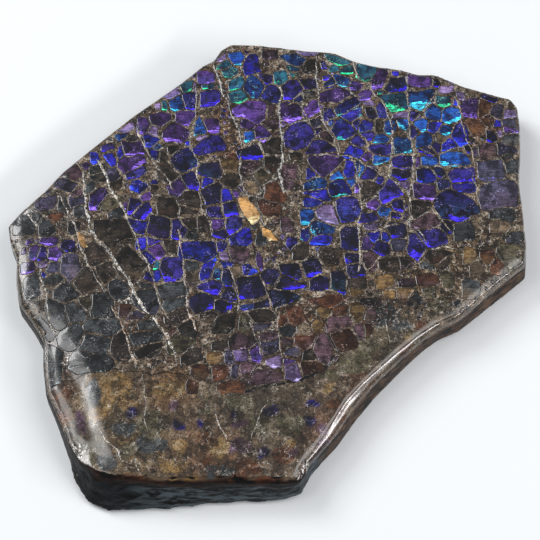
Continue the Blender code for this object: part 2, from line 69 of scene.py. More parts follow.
# The plates of the shell, by kind: middle, width and height in pixels, and turn in degrees.
PLATES = {
    "indigo": [
        (190, 100, 11, 14, 0), (209, 97, 16, 12, 5), (108, 148, 10, 7, 20), (136, 173, 16, 7, 28),
        (182, 161, 18, 18, 25), (191, 181, 12, 14, 22), (266, 79, 10, 7, 0), (271, 95, 15, 17, -25),
        (290, 90, 16, 15, 0), (302, 135, 25, 17, 15), (320, 147, 22, 9, 5), (208, 144, 22, 12, 12),
        (329, 115, 8, 9, 0), (369, 135, 14, 8, 25), (359, 141, 14, 9, 20), (379, 149, 18, 10, 25),
        (382, 111, 9, 13, -20), (404, 161, 15, 12, 0), (429, 152, 15, 6, -25), (461, 176, 18, 12, 0),
        (452, 205, 29, 28, 15), (133, 207, 11, 11, 0), (141, 213, 15, 10, 35), (178, 230, 13, 13, -20),
        (216, 213, 12, 10, 10), (228, 209, 13, 12, 15), (232, 226, 13, 13, 0), (220, 233, 10, 7, 0),
        (152, 241, 12, 6, 0), (222, 247, 7, 8, 0), (170, 270, 19, 18, 3), (212, 287, 18, 11, 10),
        (292, 244, 7, 8, 0), (346, 209, 16, 18, 10), (388, 191, 20, 17, 25), (397, 206, 8, 10, 0),
        (370, 218, 17, 7, 0), (384, 247, 14, 14, 10), (431, 237, 21, 13, 0), (416, 247, 12, 19, 10),
        (68, 246, 10, 9, 0), (323, 64, 5, 5, 0), (326, 78, 6, 4, 0), (414, 131, 4, 11, 0),
        (379, 179, 8, 7, 0), (369, 173, 12, 11, 0), (415, 115, 8, 8, 0), (43, 255, 8, 12, 0),
        (436, 147, 10, 6, -20), (356, 122, 8, 8, 27),
    ],
    "cyan": [
        (345, 107, 24, 9, 27), (353, 117, 20, 12, 27), (345, 129, 23, 13, 25), (333, 122, 5, 5, 0),
        (340, 188, 19, 12, -10), (306, 235, 8, 8, 0), (366, 126, 12, 8, 25), (298, 99, 10, 4, 30),
    ],
    "blue": [
        (152, 141, 13, 12, 0), (154, 152, 9, 6, -35), (110, 158, 13, 6, -48), (94, 159, 6, 10, 0),
        (188, 142, 4, 5, 0), (251, 64, 12, 14, 10), (395, 73, 5, 4, 0), (353, 151, 15, 10, 10),
        (433, 126, 10, 9, 0), (460, 134, 11, 20, 0), (447, 145, 15, 8, 18), (426, 176, 14, 13, 0),
        (461, 187, 18, 7, -5), (140, 187, 12, 9, -25), (139, 224, 14, 9, -35), (206, 182, 9, 6, 15),
        (226, 196, 10, 9, 0), (142, 243, 8, 9, 0), (147, 257, 6, 10, 20), (196, 251, 29, 14, -3),
        (227, 264, 9, 5, 0), (148, 277, 9, 7, 0), (157, 275, 8, 8, 0), (207, 272, 22, 9, 58),
        (319, 194, 18, 9, 0), (315, 202, 18, 5, 0), (310, 174, 6, 9, 0), (348, 171, 9, 13, -10),
        (321, 240, 14, 7, -8), (240, 237, 15, 11, 15), (250, 269, 10, 8, 25), (374, 236, 13, 8, 15),
        (385, 237, 9, 8, 0), (496, 123, 6, 6, 0), (46, 274, 4, 5, 0), (454, 103, 4, 5, 0),
        (121, 152, 5, 9, 0),
    ],
    "azure": [
        (178, 102, 11, 13, 10), (199, 129, 9, 17, 0), (122, 135, 8, 6, 30), (237, 59, 16, 9, 12),
        (254, 89, 12, 18, -5), (298, 59, 26, 9, 8), (342, 80, 12, 9, 0), (379, 139, 13, 7, 15),
        (379, 159, 16, 6, 20), (389, 126, 9, 13, -20), (401, 124, 10, 8, 0), (421, 100, 18, 18, 0),
        (434, 111, 14, 12, 15), (421, 125, 9, 12, 0), (424, 140, 9, 12, 0), (403, 147, 12, 14, 0),
        (430, 161, 16, 10, -10), (451, 115, 17, 15, 15), (446, 130, 10, 7, 0), (318, 185, 16, 8, 0),
        (337, 176, 12, 9, 20), (351, 183, 6, 9, 0), (360, 169, 9, 11, 0), (309, 217, 14, 12, -20),
        (320, 228, 20, 10, -15), (384, 211, 14, 8, 0), (215, 275, 8, 9, 0), (249, 136, 8, 9, 0),
        (452, 160, 23, 10, -12), (157, 146, 6, 5, 0),
    ],
    "teal": [
        (186, 87, 11, 8, 20), (207, 87, 9, 6, 0), (228, 64, 15, 5, 10), (230, 72, 11, 8, 10),
        (237, 84, 13, 9, 30), (240, 96, 16, 10, 5), (280, 79, 11, 11, 0), (293, 67, 10, 5, 0),
        (338, 60, 22, 6, -12), (335, 67, 10, 5, 18), (366, 71, 13, 12, 0), (382, 92, 4, 3, 0),
        (394, 103, 20, 17, 5), (443, 102, 14, 9, -5), (156, 266, 5, 6, 0), (164, 106, 5, 8, 0),
        (345, 71, 12, 5, 15),
    ],
    "violet": [
        (206, 78, 12, 9, 0), (161, 120, 19, 11, 8), (144, 126, 12, 13, -10), (183, 118, 20, 11, 10),
        (175, 132, 25, 14, 5), (132, 148, 17, 15, 10), (131, 163, 20, 13, 22), (86, 165, 7, 5, 25),
        (146, 196, 8, 5, 0), (253, 111, 25, 15, -12), (292, 112, 21, 15, 30), (311, 109, 16, 8, 40),
        (247, 125, 12, 6, -15), (262, 134, 14, 11, -20), (211, 126, 10, 9, 0), (247, 53, 5, 3, 0),
        (355, 85, 11, 7, 0), (381, 79, 14, 14, 10), (334, 94, 22, 11, 0), (366, 95, 10, 8, 0),
        (370, 156, 12, 6, 10), (420, 82, 20, 8, -5), (470, 108, 15, 14, 0), (417, 162, 3, 7, 0),
        (510, 131, 12, 5, 0), (326, 166, 25, 17, 5), (125, 207, 4, 5, 0), (217, 224, 11, 8, 0),
        (156, 252, 12, 10, 0), (234, 193, 6, 4, 0), (259, 262, 5, 14, 5), (374, 205, 12, 8, 0),
        (368, 243, 11, 8, 0), (54, 254, 10, 11, 0), (48, 242, 12, 6, 0), (35, 253, 7, 9, 0),
        (424, 190, 16, 13, 0), (177, 188, 14, 13, 22), (98, 199, 12, 14, 0), (356, 187, 5, 9, 0),
        (28, 267, 11, 8, 0), (255, 354, 9, 11, 0), (290, 361, 9, 5, 0), (282, 124, 5, 5, 0),
    ],
    "pearl": [
        (174, 93, 15, 6, 35), (155, 131, 9, 9, 0), (124, 129, 16, 5, 30), (224, 58, 9, 4, 20),
        (303, 53, 20, 3, -5), (400, 116, 10, 6, 0), (460, 96, 7, 6, 0), (445, 89, 11, 5, 0),
        (441, 138, 9, 8, 0), (508, 113, 9, 5, 0), (500, 134, 5, 4, 0), (475, 152, 4, 6, 0),
        (326, 214, 15, 13, 0), (371, 226, 11, 6, -10), (226, 254, 7, 8, 0), (44, 264, 14, 4, 5),
        (404, 184, 7, 6, 0), (193, 88, 3, 8, 0), (158, 106, 5, 4, 0), (241, 355, 12, 9, 0),
        (369, 103, 8, 5, 10), (275, 361, 12, 9, 0), (293, 371, 12, 11, 0), (202, 138, 9, 4, 15),
    ],
    "midnight": [
        (308, 84, 12, 8, 0), (250, 154, 19, 9, 15), (395, 84, 18, 10, 5), (331, 84, 9, 7, 0),
        (371, 114, 9, 11, 0), (436, 83, 6, 7, 0), (489, 98, 12, 6, -10), (492, 138, 7, 9, 0),
        (319, 131, 6, 5, 0), (468, 149, 5, 7, 0), (438, 171, 9, 8, 0), (445, 184, 10, 7, 0),
        (158, 228, 20, 17, 0), (211, 170, 17, 10, 5), (213, 193, 18, 13, 15), (227, 277, 10, 12, 0),
        (204, 302, 20, 12, 30), (351, 238, 13, 15, 0), (352, 258, 11, 7, 0), (356, 270, 13, 13, 0),
        (312, 268, 13, 13, 0), (290, 272, 17, 11, 0), (272, 276, 15, 9, 0), (401, 174, 12, 7, 0),
        (395, 214, 8, 6, 0), (397, 232, 14, 12, 0), (446, 226, 9, 10, 0), (249, 287, 20, 14, 0),
        (286, 284, 24, 9, 15), (283, 296, 22, 11, 10), (222, 306, 14, 9, 30), (228, 294, 12, 9, 10),
        (256, 307, 20, 6, 12), (338, 282, 12, 14, 0), (320, 283, 14, 9, 0),
    ],
    "dusk": [
        (45, 204, 17, 9, 22), (76, 202, 11, 8, 10), (70, 268, 15, 18, 25), (52, 268, 14, 7, 12),
        (497, 111, 9, 9, 0), (510, 123, 13, 8, 0), (505, 149, 15, 10, 0), (499, 197, 24, 21, 0),
        (397, 244, 12, 8, 0), (315, 124, 8, 7, 0), (110, 174, 10, 11, 15), (260, 326, 15, 7, 0),
        (268, 345, 15, 10, 0), (134, 314, 13, 6, 5), (293, 352, 13, 8, 25), (234, 372, 6, 9, 0),
        (492, 170, 18, 17, 0), (228, 357, 10, 9, 0), (67, 185, 15, 8, -15),
    ],
    "umber": [
        (132, 138, 8, 5, 20), (115, 184, 9, 8, 0), (164, 155, 8, 8, 15), (173, 151, 10, 8, 15),
        (169, 173, 15, 13, -35), (309, 66, 14, 9, 0), (270, 147, 19, 11, 3), (272, 165, 13, 12, 0),
        (296, 156, 9, 6, 0), (380, 126, 9, 11, 0), (115, 231, 26, 19, 12), (113, 246, 12, 10, 0),
        (130, 266, 18, 24, 25), (107, 273, 12, 12, 20), (168, 208, 14, 13, 10), (189, 199, 19, 11, 12),
        (187, 210, 15, 6, 5), (190, 224, 12, 8, 0), (203, 224, 10, 10, 0), (231, 181, 14, 10, 15),
        (369, 190, 15, 14, 20), (421, 208, 16, 11, 0), (390, 264, 18, 9, 0), (436, 257, 24, 8, -3),
        (444, 266, 11, 6, 0), (331, 257, 17, 11, 0), (72, 228, 8, 9, 0), (95, 254, 14, 14, 30),
        (84, 281, 18, 15, 15), (170, 246, 9, 8, 0), (225, 323, 20, 12, 5), (187, 330, 13, 14, 15),
        (220, 346, 12, 8, 0), (192, 357, 15, 9, 15), (259, 317, 20, 10, 0), (150, 348, 20, 6, 28),
        (121, 347, 13, 18, 10), (309, 355, 11, 9, 0), (370, 303, 15, 6, 0), (357, 283, 12, 8, 0),
        (210, 316, 14, 7, 0), (405, 262, 12, 9, 0), (300, 252, 12, 10, 0), (178, 316, 18, 9, 5),
    ],
    "slate": [
        (97, 168, 12, 8, 15), (99, 177, 12, 7, 15), (90, 187, 6, 8, 0), (308, 95, 12, 6, 0),
        (511, 140, 14, 9, 0), (512, 167, 11, 10, 0), (507, 158, 8, 5, 0), (502, 214, 15, 9, 0),
        (516, 239, 15, 9, 0), (262, 239, 8, 8, 0), (191, 235, 11, 7, 0), (191, 266, 9, 8, 0),
        (116, 214, 13, 7, 25), (63, 205, 8, 10, 0), (80, 211, 9, 6, 0), (24, 224, 13, 13, 0),
        (37, 218, 8, 7, 0), (46, 227, 12, 11, 10), (54, 280, 12, 11, 0), (32, 285, 10, 16, 0),
        (66, 292, 16, 12, 5), (101, 306, 17, 16, 10), (118, 290, 12, 13, 20), (146, 298, 18, 22, 25),
        (171, 290, 22, 9, 0), (172, 304, 15, 9, 5), (143, 285, 16, 5, 0), (464, 231, 14, 13, 0),
        (428, 265, 10, 6, 0), (471, 288, 13, 14, 0), (101, 326, 22, 12, 5), (95, 344, 24, 13, 0),
        (75, 312, 18, 13, 5), (58, 316, 13, 22, 12), (70, 337, 18, 18, 15), (92, 362, 28, 13, 0),
        (45, 328, 10, 15, 25), (53, 363, 12, 26, 0), (147, 337, 19, 11, 30), (417, 299, 15, 10, 5),
        (285, 332, 11, 10, 0), (147, 326, 10, 8, 20),
    ],
    "plum": [
        (74, 173, 14, 9, 25), (76, 193, 10, 5, 0), (271, 54, 11, 7, 0), (271, 109, 11, 9, 0),
        (271, 124, 15, 7, 0), (250, 166, 17, 11, 10), (326, 137, 12, 8, 0), (490, 151, 14, 11, 20),
        (289, 173, 12, 12, 0), (288, 184, 10, 7, 0), (288, 225, 9, 10, 0), (237, 253, 15, 12, 0),
        (369, 262, 12, 12, 0), (427, 221, 21, 10, 0), (409, 284, 12, 7, 0), (242, 341, 26, 11, 5),
        (264, 376, 22, 9, 8), (287, 343, 12, 9, 0), (322, 348, 14, 22, -10), (339, 322, 22, 11, 5),
        (268, 335, 15, 7, 0), (370, 315, 9, 8, 0), (360, 330, 12, 10, 0), (248, 368, 10, 8, 0),
    ],
    "rust": [
        (275, 193, 15, 13, 0), (270, 207, 15, 11, 0), (475, 127, 13, 11, 0), (484, 108, 8, 14, 0),
        (231, 157, 8, 5, 0), (55, 217, 10, 5, 0), (487, 260, 10, 12, 0), (498, 266, 9, 12, 0),
        (428, 280, 18, 8, 8), (199, 373, 10, 10, 0), (125, 310, 8, 8, 0), (330, 302, 30, 8, 10),
        (339, 311, 16, 8, 0), (293, 317, 14, 13, 0), (283, 320, 8, 7, 0), (303, 341, 19, 11, 0),
        (311, 366, 18, 9, 0), (230, 386, 19, 10, 0), (221, 373, 13, 11, 0), (367, 330, 7, 8, 0),
        (345, 339, 18, 15, 10), (192, 387, 8, 10, 0), (488, 120, 8, 8, 0),
    ],
    "gold": [
        (229, 166, 13, 13, 10), (470, 257, 9, 12, 0), (453, 268, 6, 8, 0), (408, 292, 18, 6, 8),
        (325, 313, 12, 8, 0), (318, 327, 9, 9, 0), (217, 357, 12, 10, 0), (358, 313, 14, 14, 0),
        (385, 281, 14, 9, 15), (390, 294, 10, 5, 0), (357, 292, 9, 5, 0),
    ],
    "olive": [
        (260, 175, 11, 10, 0), (108, 204, 16, 7, 20), (85, 303, 9, 9, 0), (447, 277, 9, 13, 0),
        (513, 258, 20, 20, 0), (181, 344, 20, 11, 20), (245, 325, 10, 14, 0), (428, 292, 10, 8, 0),
    ],
    "grit": [
        (344, 146, 8, 9, 0), (295, 218, 8, 8, 0), (501, 227, 13, 9, 0), (478, 268, 10, 17, 0),
        (192, 277, 9, 10, 0), (237, 271, 8, 7, 0), (250, 187, 10, 9, 0), (303, 330, 9, 8, 0),
    ],
}

# Soft blotches of the rock, by kind: middle, width and height in pixels, and turn in degrees.
BLOTCHES = {
    "gold": [
        (115, 388, 36, 26, 10), (100, 414, 30, 15, 20), (172, 389, 38, 17, 0), (180, 447, 12, 14, 0),
        (218, 446, 20, 18, 0), (172, 466, 30, 15, 0), (185, 480, 30, 6, 0), (330, 388, 14, 10, 0),
        (360, 366, 9, 6, 30), (440, 300, 8, 8, 0), (128, 404, 18, 10, 0), (160, 456, 10, 8, 0),
        (408, 340, 12, 14, 0), (290, 443, 10, 7, 0),
    ],
    "rust": [
        (60, 393, 20, 18, 20), (62, 412, 18, 20, 20), (205, 463, 11, 9, 0), (250, 466, 28, 15, 0),
        (285, 455, 24, 18, 0), (268, 480, 34, 8, 0), (336, 405, 20, 12, 0), (405, 348, 14, 16, 0),
        (422, 325, 18, 10, 20), (205, 437, 12, 10, 0), (306, 470, 14, 10, 0), (240, 478, 20, 8, 0),
        (352, 392, 12, 12, 0), (130, 478, 40, 8, 0), (340, 415, 14, 12, 0),
    ],
    "slate": [
        (93, 392, 16, 24, 0), (107, 462, 22, 14, 0), (385, 314, 30, 22, 20), (150, 444, 34, 18, 0),
        (125, 428, 24, 14, 0), (228, 470, 18, 10, 0), (210, 472, 12, 14, 0), (400, 325, 24, 12, 0),
    ],
    "midnight": [
        (270, 410, 16, 11, 0), (264, 451, 13, 10, 0), (307, 421, 17, 9, 0), (312, 404, 12, 7, 0),
        (178, 424, 12, 7, 0), (202, 424, 7, 7, 0), (132, 412, 16, 10, 0), (235, 412, 10, 8, 0),
    ],
    "plum": [
        (240, 447, 22, 14, 0), (240, 424, 16, 9, 0), (322, 428, 14, 12, 0), (174, 405, 14, 10, 0),
        (325, 442, 12, 10, 0), (295, 452, 14, 10, 0), (80, 420, 12, 20, 10),
    ],
    "olive": [
        (204, 410, 11, 7, 0), (355, 362, 40, 22, 20), (240, 402, 30, 18, 0), (290, 425, 26, 20, 0),
        (330, 375, 22, 10, 0), (150, 425, 24, 30, 0), (370, 345, 26, 18, 0), (90, 450, 20, 30, -20),
        (438, 306, 34, 14, 20), (128, 450, 18, 12, 0), (260, 425, 20, 16, 0), (205, 395, 14, 10, 0),
    ],
    "grit": [
        (205, 390, 14, 12, 0), (145, 395, 5, 40, 0), (218, 425, 5, 22, -35), (316, 388, 12, 10, 0),
        (345, 388, 10, 10, 0), (254, 440, 6, 6, 0), (270, 448, 10, 6, 0),
    ],
}

# Colours of a plate: its depths, its body and its flashes.
PLATE_KINDS = {
    "indigo": ("#0a0820", "#2c2474", "#4428ff"),
    "cyan": ("#0a0c30", "#27248a", "#4ae8e0"),
    "blue": ("#0b0c38", "#2420a8", "#2f4cff"),
    "azure": ("#08183e", "#1c50a4", "#44d8ff"),
    "teal": ("#0c2030", "#1e5668", "#38f0a8"),
    "violet": ("#1c1230", "#4c3070", "#a070ff"),
    "pearl": ("#3a2f48", "#7c6894", "#a894cc"),
    "midnight": ("#08080f", "#141230", "#3420f0"),
    "dusk": ("#1f1e2a", "#4e4c66", "#7a70e0"),
    "umber": ("#15120f", "#352d27", "#7a6858"),
    "slate": ("#1a1c1e", "#42474a", "#9aa2a4"),
    "plum": ("#22181a", "#5e4650", "#a888b0"),
    "rust": ("#2a1710", "#5a3826", "#b07a50"),
    "gold": ("#4e3c26", "#92744a", "#dcc496"),
    "honey": ("#6e5230", "#b88c54", "#f0d8a8"),
    "olive": ("#221f18", "#5a5440", "#a8a088"),
    "grit": ("#3a3128", "#7c6a56", "#d8c8b2"),
}
BRIGHT_KINDS = ("indigo", "blue", "azure", "teal", "violet", "midnight")
DULL_KINDS = ("umber", "slate", "plum", "rust", "gold", "olive", "grit", "dusk")

# Loose chips of one colour that stand out: kind, then pixels round them.
CHIPS = [
    ("honey", [(238, 197), (247, 195), (254, 205), (260, 218), (252, 226), (244, 214)]),
    ("honey", [(261, 228), (271, 230), (281, 241), (272, 242), (263, 236)]),
    ("honey", [(75, 232), (84, 236), (90, 247), (84, 248), (77, 240)]),
    ("olive", [(142, 359), (152, 352), (165, 349), (158, 356)]),
    ("grit", [(433, 133), (441, 132), (447, 140), (441, 145), (435, 141)]),
]

# Veins that stand out: width in millimetres, colour, strength of the white glints painted on them, then pixels
# along them.
VEINS = [
    (0.9, "#8a7d6a", 0.7, [(84, 170), (85, 200), (90, 226), (98, 239), (112, 256), (122, 272)]),
    # The near-white middle stretch of this rib is a painted highlight on the vein.
    (0.9, "#cfc8bc", 1.0, [(110, 254), (120, 267), (127, 278), (136, 297), (150, 315)]),
    (0.9, "#9a8670", 0.7, [(150, 315), (158, 325), (167, 336), (174, 350), (177, 362)]),
    (0.7, "#b5aa9a", 0.9, [(94, 158), (103, 172), (110, 186), (122, 209), (131, 223), (136, 236)]),
    (0.6, "#7d6b58", 0.4, [(136, 236), (144, 258), (152, 276), (156, 291), (161, 306), (170, 320)]),
    (0.8, "#9a8068", 0.6, [(176, 225), (181, 250), (185, 275), (186, 300), (191, 318), (198, 334)]),
    (0.7, "#7c6c5a", 0.4, [(60, 195), (66, 208), (78, 238), (84, 255), (93, 270), (99, 284), (112, 302)]),
    (0.7, "#86684e", 0.7, [(112, 302), (118, 316), (121, 328), (129, 340), (132, 354), (137, 363)]),
    (0.6, "#8c8272", 0.8, [(41, 262), (43, 282), (47, 294), (48, 308), (52, 328), (57, 341)]),
    (1.0, "#4a4036", 0.2, [(214, 60), (219, 80), (226, 98), (233, 115), (240, 135), (244, 148)]),
    (0.7, "#5d5042", 0.3, [(244, 148), (240, 160), (240, 178), (248, 196), (258, 214), (270, 228)]),
    (0.8, "#6a5238", 0.3, [(250, 54), (243, 62), (240, 72), (232, 78), (222, 84)]),
    (0.6, "#665a4a", 0.3, [(194, 84), (196, 100), (197, 118), (192, 132), (190, 146), (198, 162)]),
    (0.6, "#6c5e4c", 0.3, [(180, 112), (200, 109), (220, 106)]),
    (0.5, "#665444", 0.2, [(160, 144), (176, 142), (188, 145)]),
    (0.7, "#7a6a54", 0.4, [(136, 118), (140, 138), (148, 152), (158, 166), (166, 178), (176, 194)]),
    (0.5, "#74644e", 0.4, [(188, 146), (196, 158), (198, 180), (200, 200), (206, 216), (214, 232)]),
    (0.7, "#7d6a52", 0.5, [(238, 148), (250, 143), (262, 139), (274, 139)]),
    (0.4, "#8a7a64", 0.5, [(258, 144), (262, 153), (278, 155)]),
    (0.8, "#6f6a62", 0.7, [(279, 84), (282, 96), (280, 112), (282, 130), (283, 150), (281, 172), (285, 196)]),
    (0.5, "#75695a", 0.4, [(283, 108), (296, 102), (308, 118), (290, 126)]),
    (0.6, "#74695c", 0.4, [(316, 52), (317, 76), (319, 100), (322, 118), (333, 136), (339, 156)]),
    (0.6, "#6e6252", 0.3, [(302, 94), (318, 88), (340, 86), (358, 96), (368, 90)]),
    (0.5, "#7c6a54", 0.4, [(300, 122), (318, 116), (330, 108)]),
    (0.6, "#7c6e5a", 0.4, [(311, 157), (328, 154), (344, 156), (358, 160), (372, 168), (384, 176)]),
    (0.7, "#7a6c5a", 0.5, [(352, 62), (360, 76), (372, 88), (384, 104), (390, 118), (393, 136), (391, 160)]),
    (0.7, "#85785f", 0.5, [(391, 160), (392, 178), (400, 186), (408, 196), (411, 212), (407, 226)]),
    (0.6, "#7a6e60", 0.3, [(406, 72), (408, 92), (408, 112), (410, 130), (414, 144), (413, 165), (413, 182)]),
    (0.5, "#6c5c46", 0.2, [(384, 94), (404, 92), (420, 90), (433, 88)]),
    (0.6, "#6c5c46", 0.2, [(438, 88), (428, 104), (420, 114), (412, 122)]),
    (0.6, "#7a6850", 0.3, [(416, 147), (428, 152), (437, 154), (452, 149), (468, 144)]),
    (0.6, "#6f6250", 0.3, [(400, 168), (420, 167), (444, 166), (466, 168), (476, 176)]),
    (0.6, "#867258", 0.4, [(452, 96), (460, 108), (463, 124), (468, 142), (474, 160), (474, 180), (478, 200)]),
    (0.5, "#705c44", 0.3, [(478, 184), (490, 182), (504, 180)]),
    (0.5, "#6e6048", 0.3, [(360, 204), (372, 199), (380, 190), (386, 182), (391, 176)]),
    (0.7, "#75664f", 0.4, [(358, 160), (358, 182), (361, 204), (358, 224), (360, 250), (357, 276)]),
    (0.5, "#8a7050", 0.4, [(364, 233), (378, 230), (390, 225), (404, 224)]),
    (0.6, "#84725c", 0.4, [(424, 204), (436, 213), (444, 224), (453, 234)]),
    (0.4, "#a29684", 0.7, [(413, 226), (422, 236), (429, 248)]),
    (0.5, "#c8beae", 0.9, [(429, 250), (440, 248), (452, 247)]),
    (0.5, "#b09a7e", 0.5, [(361, 258), (366, 269), (374, 264), (382, 254)]),
    (0.4, "#6e5c46", 0.3, [(120, 242), (136, 238), (150, 237), (164, 239), (178, 241), (200, 240), (216, 243)]),
    (0.4, "#6c5a46", 0.3, [(140, 282), (162, 283), (184, 282), (204, 280), (214, 276)]),
    (0.6, "#7a6048", 0.4, [(226, 262), (234, 276), (238, 290), (240, 302), (238, 312)]),
    (0.6, "#7a5c40", 0.3, [(264, 276), (266, 290), (269, 304), (276, 318), (278, 340), (282, 356)]),
    (0.4, "#8a7862", 0.4, [(238, 314), (248, 312), (262, 309), (276, 307), (290, 304)]),
    (0.5, "#6e6250", 0.4, [(248, 320), (254, 332), (258, 346), (261, 358)]),
    (0.4, "#9a8e7a", 0.5, [(264, 331), (272, 329), (276, 322)]),
    (0.4, "#c4bcae", 0.9, [(99, 428), (106, 438), (114, 448), (121, 459)]),
    (0.3, "#c4bcae", 0.8, [(136, 456), (137, 466), (139, 474)]),
    (0.3, "#9a8c78", 0.5, [(268, 400), (260, 414), (254, 430), (252, 438)]),
    (0.4, "#b4a898", 0.8, [(212, 412), (220, 424), (227, 440)]),
    (0.3, "#8c8272", 0.4, [(143, 374), (145, 394), (145, 414), (147, 434)]),
    (0.3, "#7c7060", 0.3, [(255, 448), (258, 462), (266, 474)]),
    (0.3, "#b4aa98", 0.6, [(383, 318), (388, 328), (390, 342)]),
]

# Dark cracks, and a wide band of painted shadow along the ledge, lying flush: width in millimetres, then pixels
# along them.
CRACKS_AND_LEDGE_SHADOW = [
    (0.35, [(44, 381), (70, 379), (84, 374), (98, 371), (120, 370), (142, 372)]),
    # The next two wide strips are painted shadow along the ledge, not cracks.
    (0.8, [(224, 396), (244, 391), (262, 386), (282, 384), (300, 380)]),
    (1.1, [(284, 380), (300, 378), (316, 374), (328, 364), (337, 354)]),
    (0.45, [(310, 304), (317, 316), (326, 330), (334, 344), (340, 353)]),
    (0.3, [(240, 180), (250, 200), (262, 222), (276, 238)]),
    (0.3, [(142, 372), (160, 373), (184, 374), (206, 380)]),
    (0.3, [(300, 122), (310, 119), (320, 116)]),
]

# The rock around a place: pixel, radius in pixels, colour, and the colour of odd patches.
GROUND_COLOUR = ("#766656", "#9c8a74")
GROUND_ZONES = [
    (270, 50, 30, "#7a6a5a", "#b09c86"),
    (232, 74, 13, "#7a4f2e", "#a06a40"),
    (225, 105, 16, "#6c4a30", "#8a4a28"),
    (228, 135, 20, "#5d4430", "#8a5a2c"),
    (232, 160, 14, "#84552c", "#b0763a"),
    (481, 122, 17, "#7c4326", "#9c5a34"),
    (262, 182, 26, "#6c6e69", "#a3a49c"),
    (258, 225, 20, "#7d684c", "#a8916c"),
    (30, 225, 30, "#4d4b45", "#85796a"),
    (60, 300, 42, "#35342f", "#6a5a48"),
    (55, 355, 24, "#3c332c", "#5a3a28"),
    (62, 390, 14, "#4a2e20", "#6a4430"),
    (105, 340, 36, "#38342c", "#5f5142"),
    (160, 330, 34, "#453a2e", "#6f5a42"),
    (230, 320, 34, "#3b3228", "#5c4a38"),
    (110, 390, 28, "#5e4c2c", "#98763a"),
    (172, 386, 24, "#6c4a24", "#a06a2c"),
    (130, 440, 46, "#3e3420", "#6a5228"),
    (70, 440, 18, "#3a2e24", "#6a5a4a"),
    (210, 460, 44, "#4a3320", "#7a4a24"),
    (265, 410, 48, "#35332a", "#524e3e"),
    (315, 430, 34, "#3a2620", "#6a3f28"),
    (360, 370, 24, "#4a2e20", "#7a4a2c"),
    (385, 345, 40, "#34332b", "#5a523e"),
    (312, 328, 28, "#5c3a20", "#8c5428"),
    (285, 360, 22, "#5a3a28", "#8a5c34"),
    (245, 362, 22, "#4a3040", "#6c4a6c"),
    (410, 285, 34, "#4f4030", "#84683c"),
    (470, 260, 34, "#5c4c36", "#8f7850"),
    (510, 245, 24, "#4a4434", "#7c7058"),
    (505, 185, 24, "#544c42", "#8a7a66"),
]
ROCK_SIDE = "#1f140e"
ROCK_RIGHT_SIDE = "#5a402b"
ROCK_FRONT_STRIP = "#2e1a12"
ROCK_FRONT = "#4a555b"
# Near-black of the cracks, also used for the painted shadow along the ledge.
CRACK_AND_SHADOW_COLOUR = "#0a0807"

# Rough hollows in the polish, on which white glints are painted: pixel and radius in pixels.
ROUGH_SPOTS = [(34, 292, 9), (68, 358, 12), (76, 450, 13), (308, 470, 10), (128, 300, 8), (30, 218, 10)]

# A gentle bend in the polished top near its left end, from back to front.
BEND = [(46, 276), (54, 310), (68, 345), (84, 380), (94, 420), (102, 450), (112, 476)]
BEND_DROP = 1.0 * MM
BEND_WIDTH = 5.2 * MM


def linear(colour):
    """A hex colour as linear RGBA."""
    channels = []
    for start in (1, 3, 5):
        value = int(colour[start:start + 2], 16) / 255.0
        if value <= 0.04045:
            channels.append(value / 12.92)
        else:
            channels.append(((value + 0.055) / 1.055) ** 2.4)
    return Vector(channels)


def smooth_step(low, high, value):
    """Rises smoothly from 0 at low to 1 at high."""
    share = min(max((value - low) / (high - low), 0.0), 1.0)
    return share * share * (3.0 - 2.0 * share)


def camera_axes():
    """The direction from the target back to the camera, and the frame's right and up."""
    back = Vector((0.0, -math.cos(CAMERA_ELEVATION), math.sin(CAMERA_ELEVATION)))
    up = Vector((0.0, math.sin(CAMERA_ELEVATION), math.cos(CAMERA_ELEVATION)))
    return back, Vector((1.0, 0.0, 0.0)), up


def photo_point(pixel_x, pixel_y, height=TOP_HEIGHT):
    """The point of a level plane that shows at a pixel of the photograph."""
    back, right, up = camera_axes()
    camera = CAMERA_TARGET + back * CAMERA_DISTANCE
    aim = CAMERA_TARGET + right * (pixel_x - PHOTO_SIZE / 2) * PIXEL
    aim += up * (PHOTO_SIZE / 2 - pixel_y) * PIXEL
    ray = aim - camera
    spot = camera + ray * ((height - camera.z) / ray.z)
    return Vector((spot.x, spot.y))


def section_outline(mesh, height):
    """The outline of a closed mesh cut level at a height, as a ring of points."""
    cut = bmesh.new()
    cut.from_mesh(mesh)
    bmesh.ops.remove_doubles(cut, verts=cut.verts, dist=1e-6)
    geometry = cut.verts[:] + cut.edges[:] + cut.faces[:]
    result = bmesh.ops.bisect_plane(cut, geom=geometry, plane_co=(0.0, 0.0, height),
                                    plane_no=(0.0, 0.0, 1.0))
    edges = [item for item in result["geom_cut"] if isinstance(item, bmesh.types.BMEdge)]
    neighbours = {}
    for edge in edges:
        first, second = edge.verts
        neighbours.setdefault(first, []).append(second)
        neighbours.setdefault(second, []).append(first)
    rings = []
    left = set(neighbours)
    while left:
        start = left.pop()
        ring = [start]
        while True:
            following = [other for other in neighbours[ring[-1]] if other in left]
            if not following:
                break
            left.discard(following[0])
            ring.append(following[0])
        rings.append([Vector((vertex.co.x, vertex.co.y)) for vertex in ring])
    cut.free()
    ring = max(rings, key=len)
    area = sum(a.x * b.y - b.x * a.y for a, b in zip(ring, ring[1:] + ring[:1]))
    return ring if area > 0.0 else ring[::-1]


def inset_ring(ring, amount):
    """A ring of points moved inwards, along directions smoothed over its neighbours."""
    count = len(ring)
    moved = []
    for index, point in enumerate(ring):
        along = ring[(index + 3) % count] - ring[index - 3]
        moved.append(point + Vector((-along.y, along.x)).normalized() * amount)
    return moved


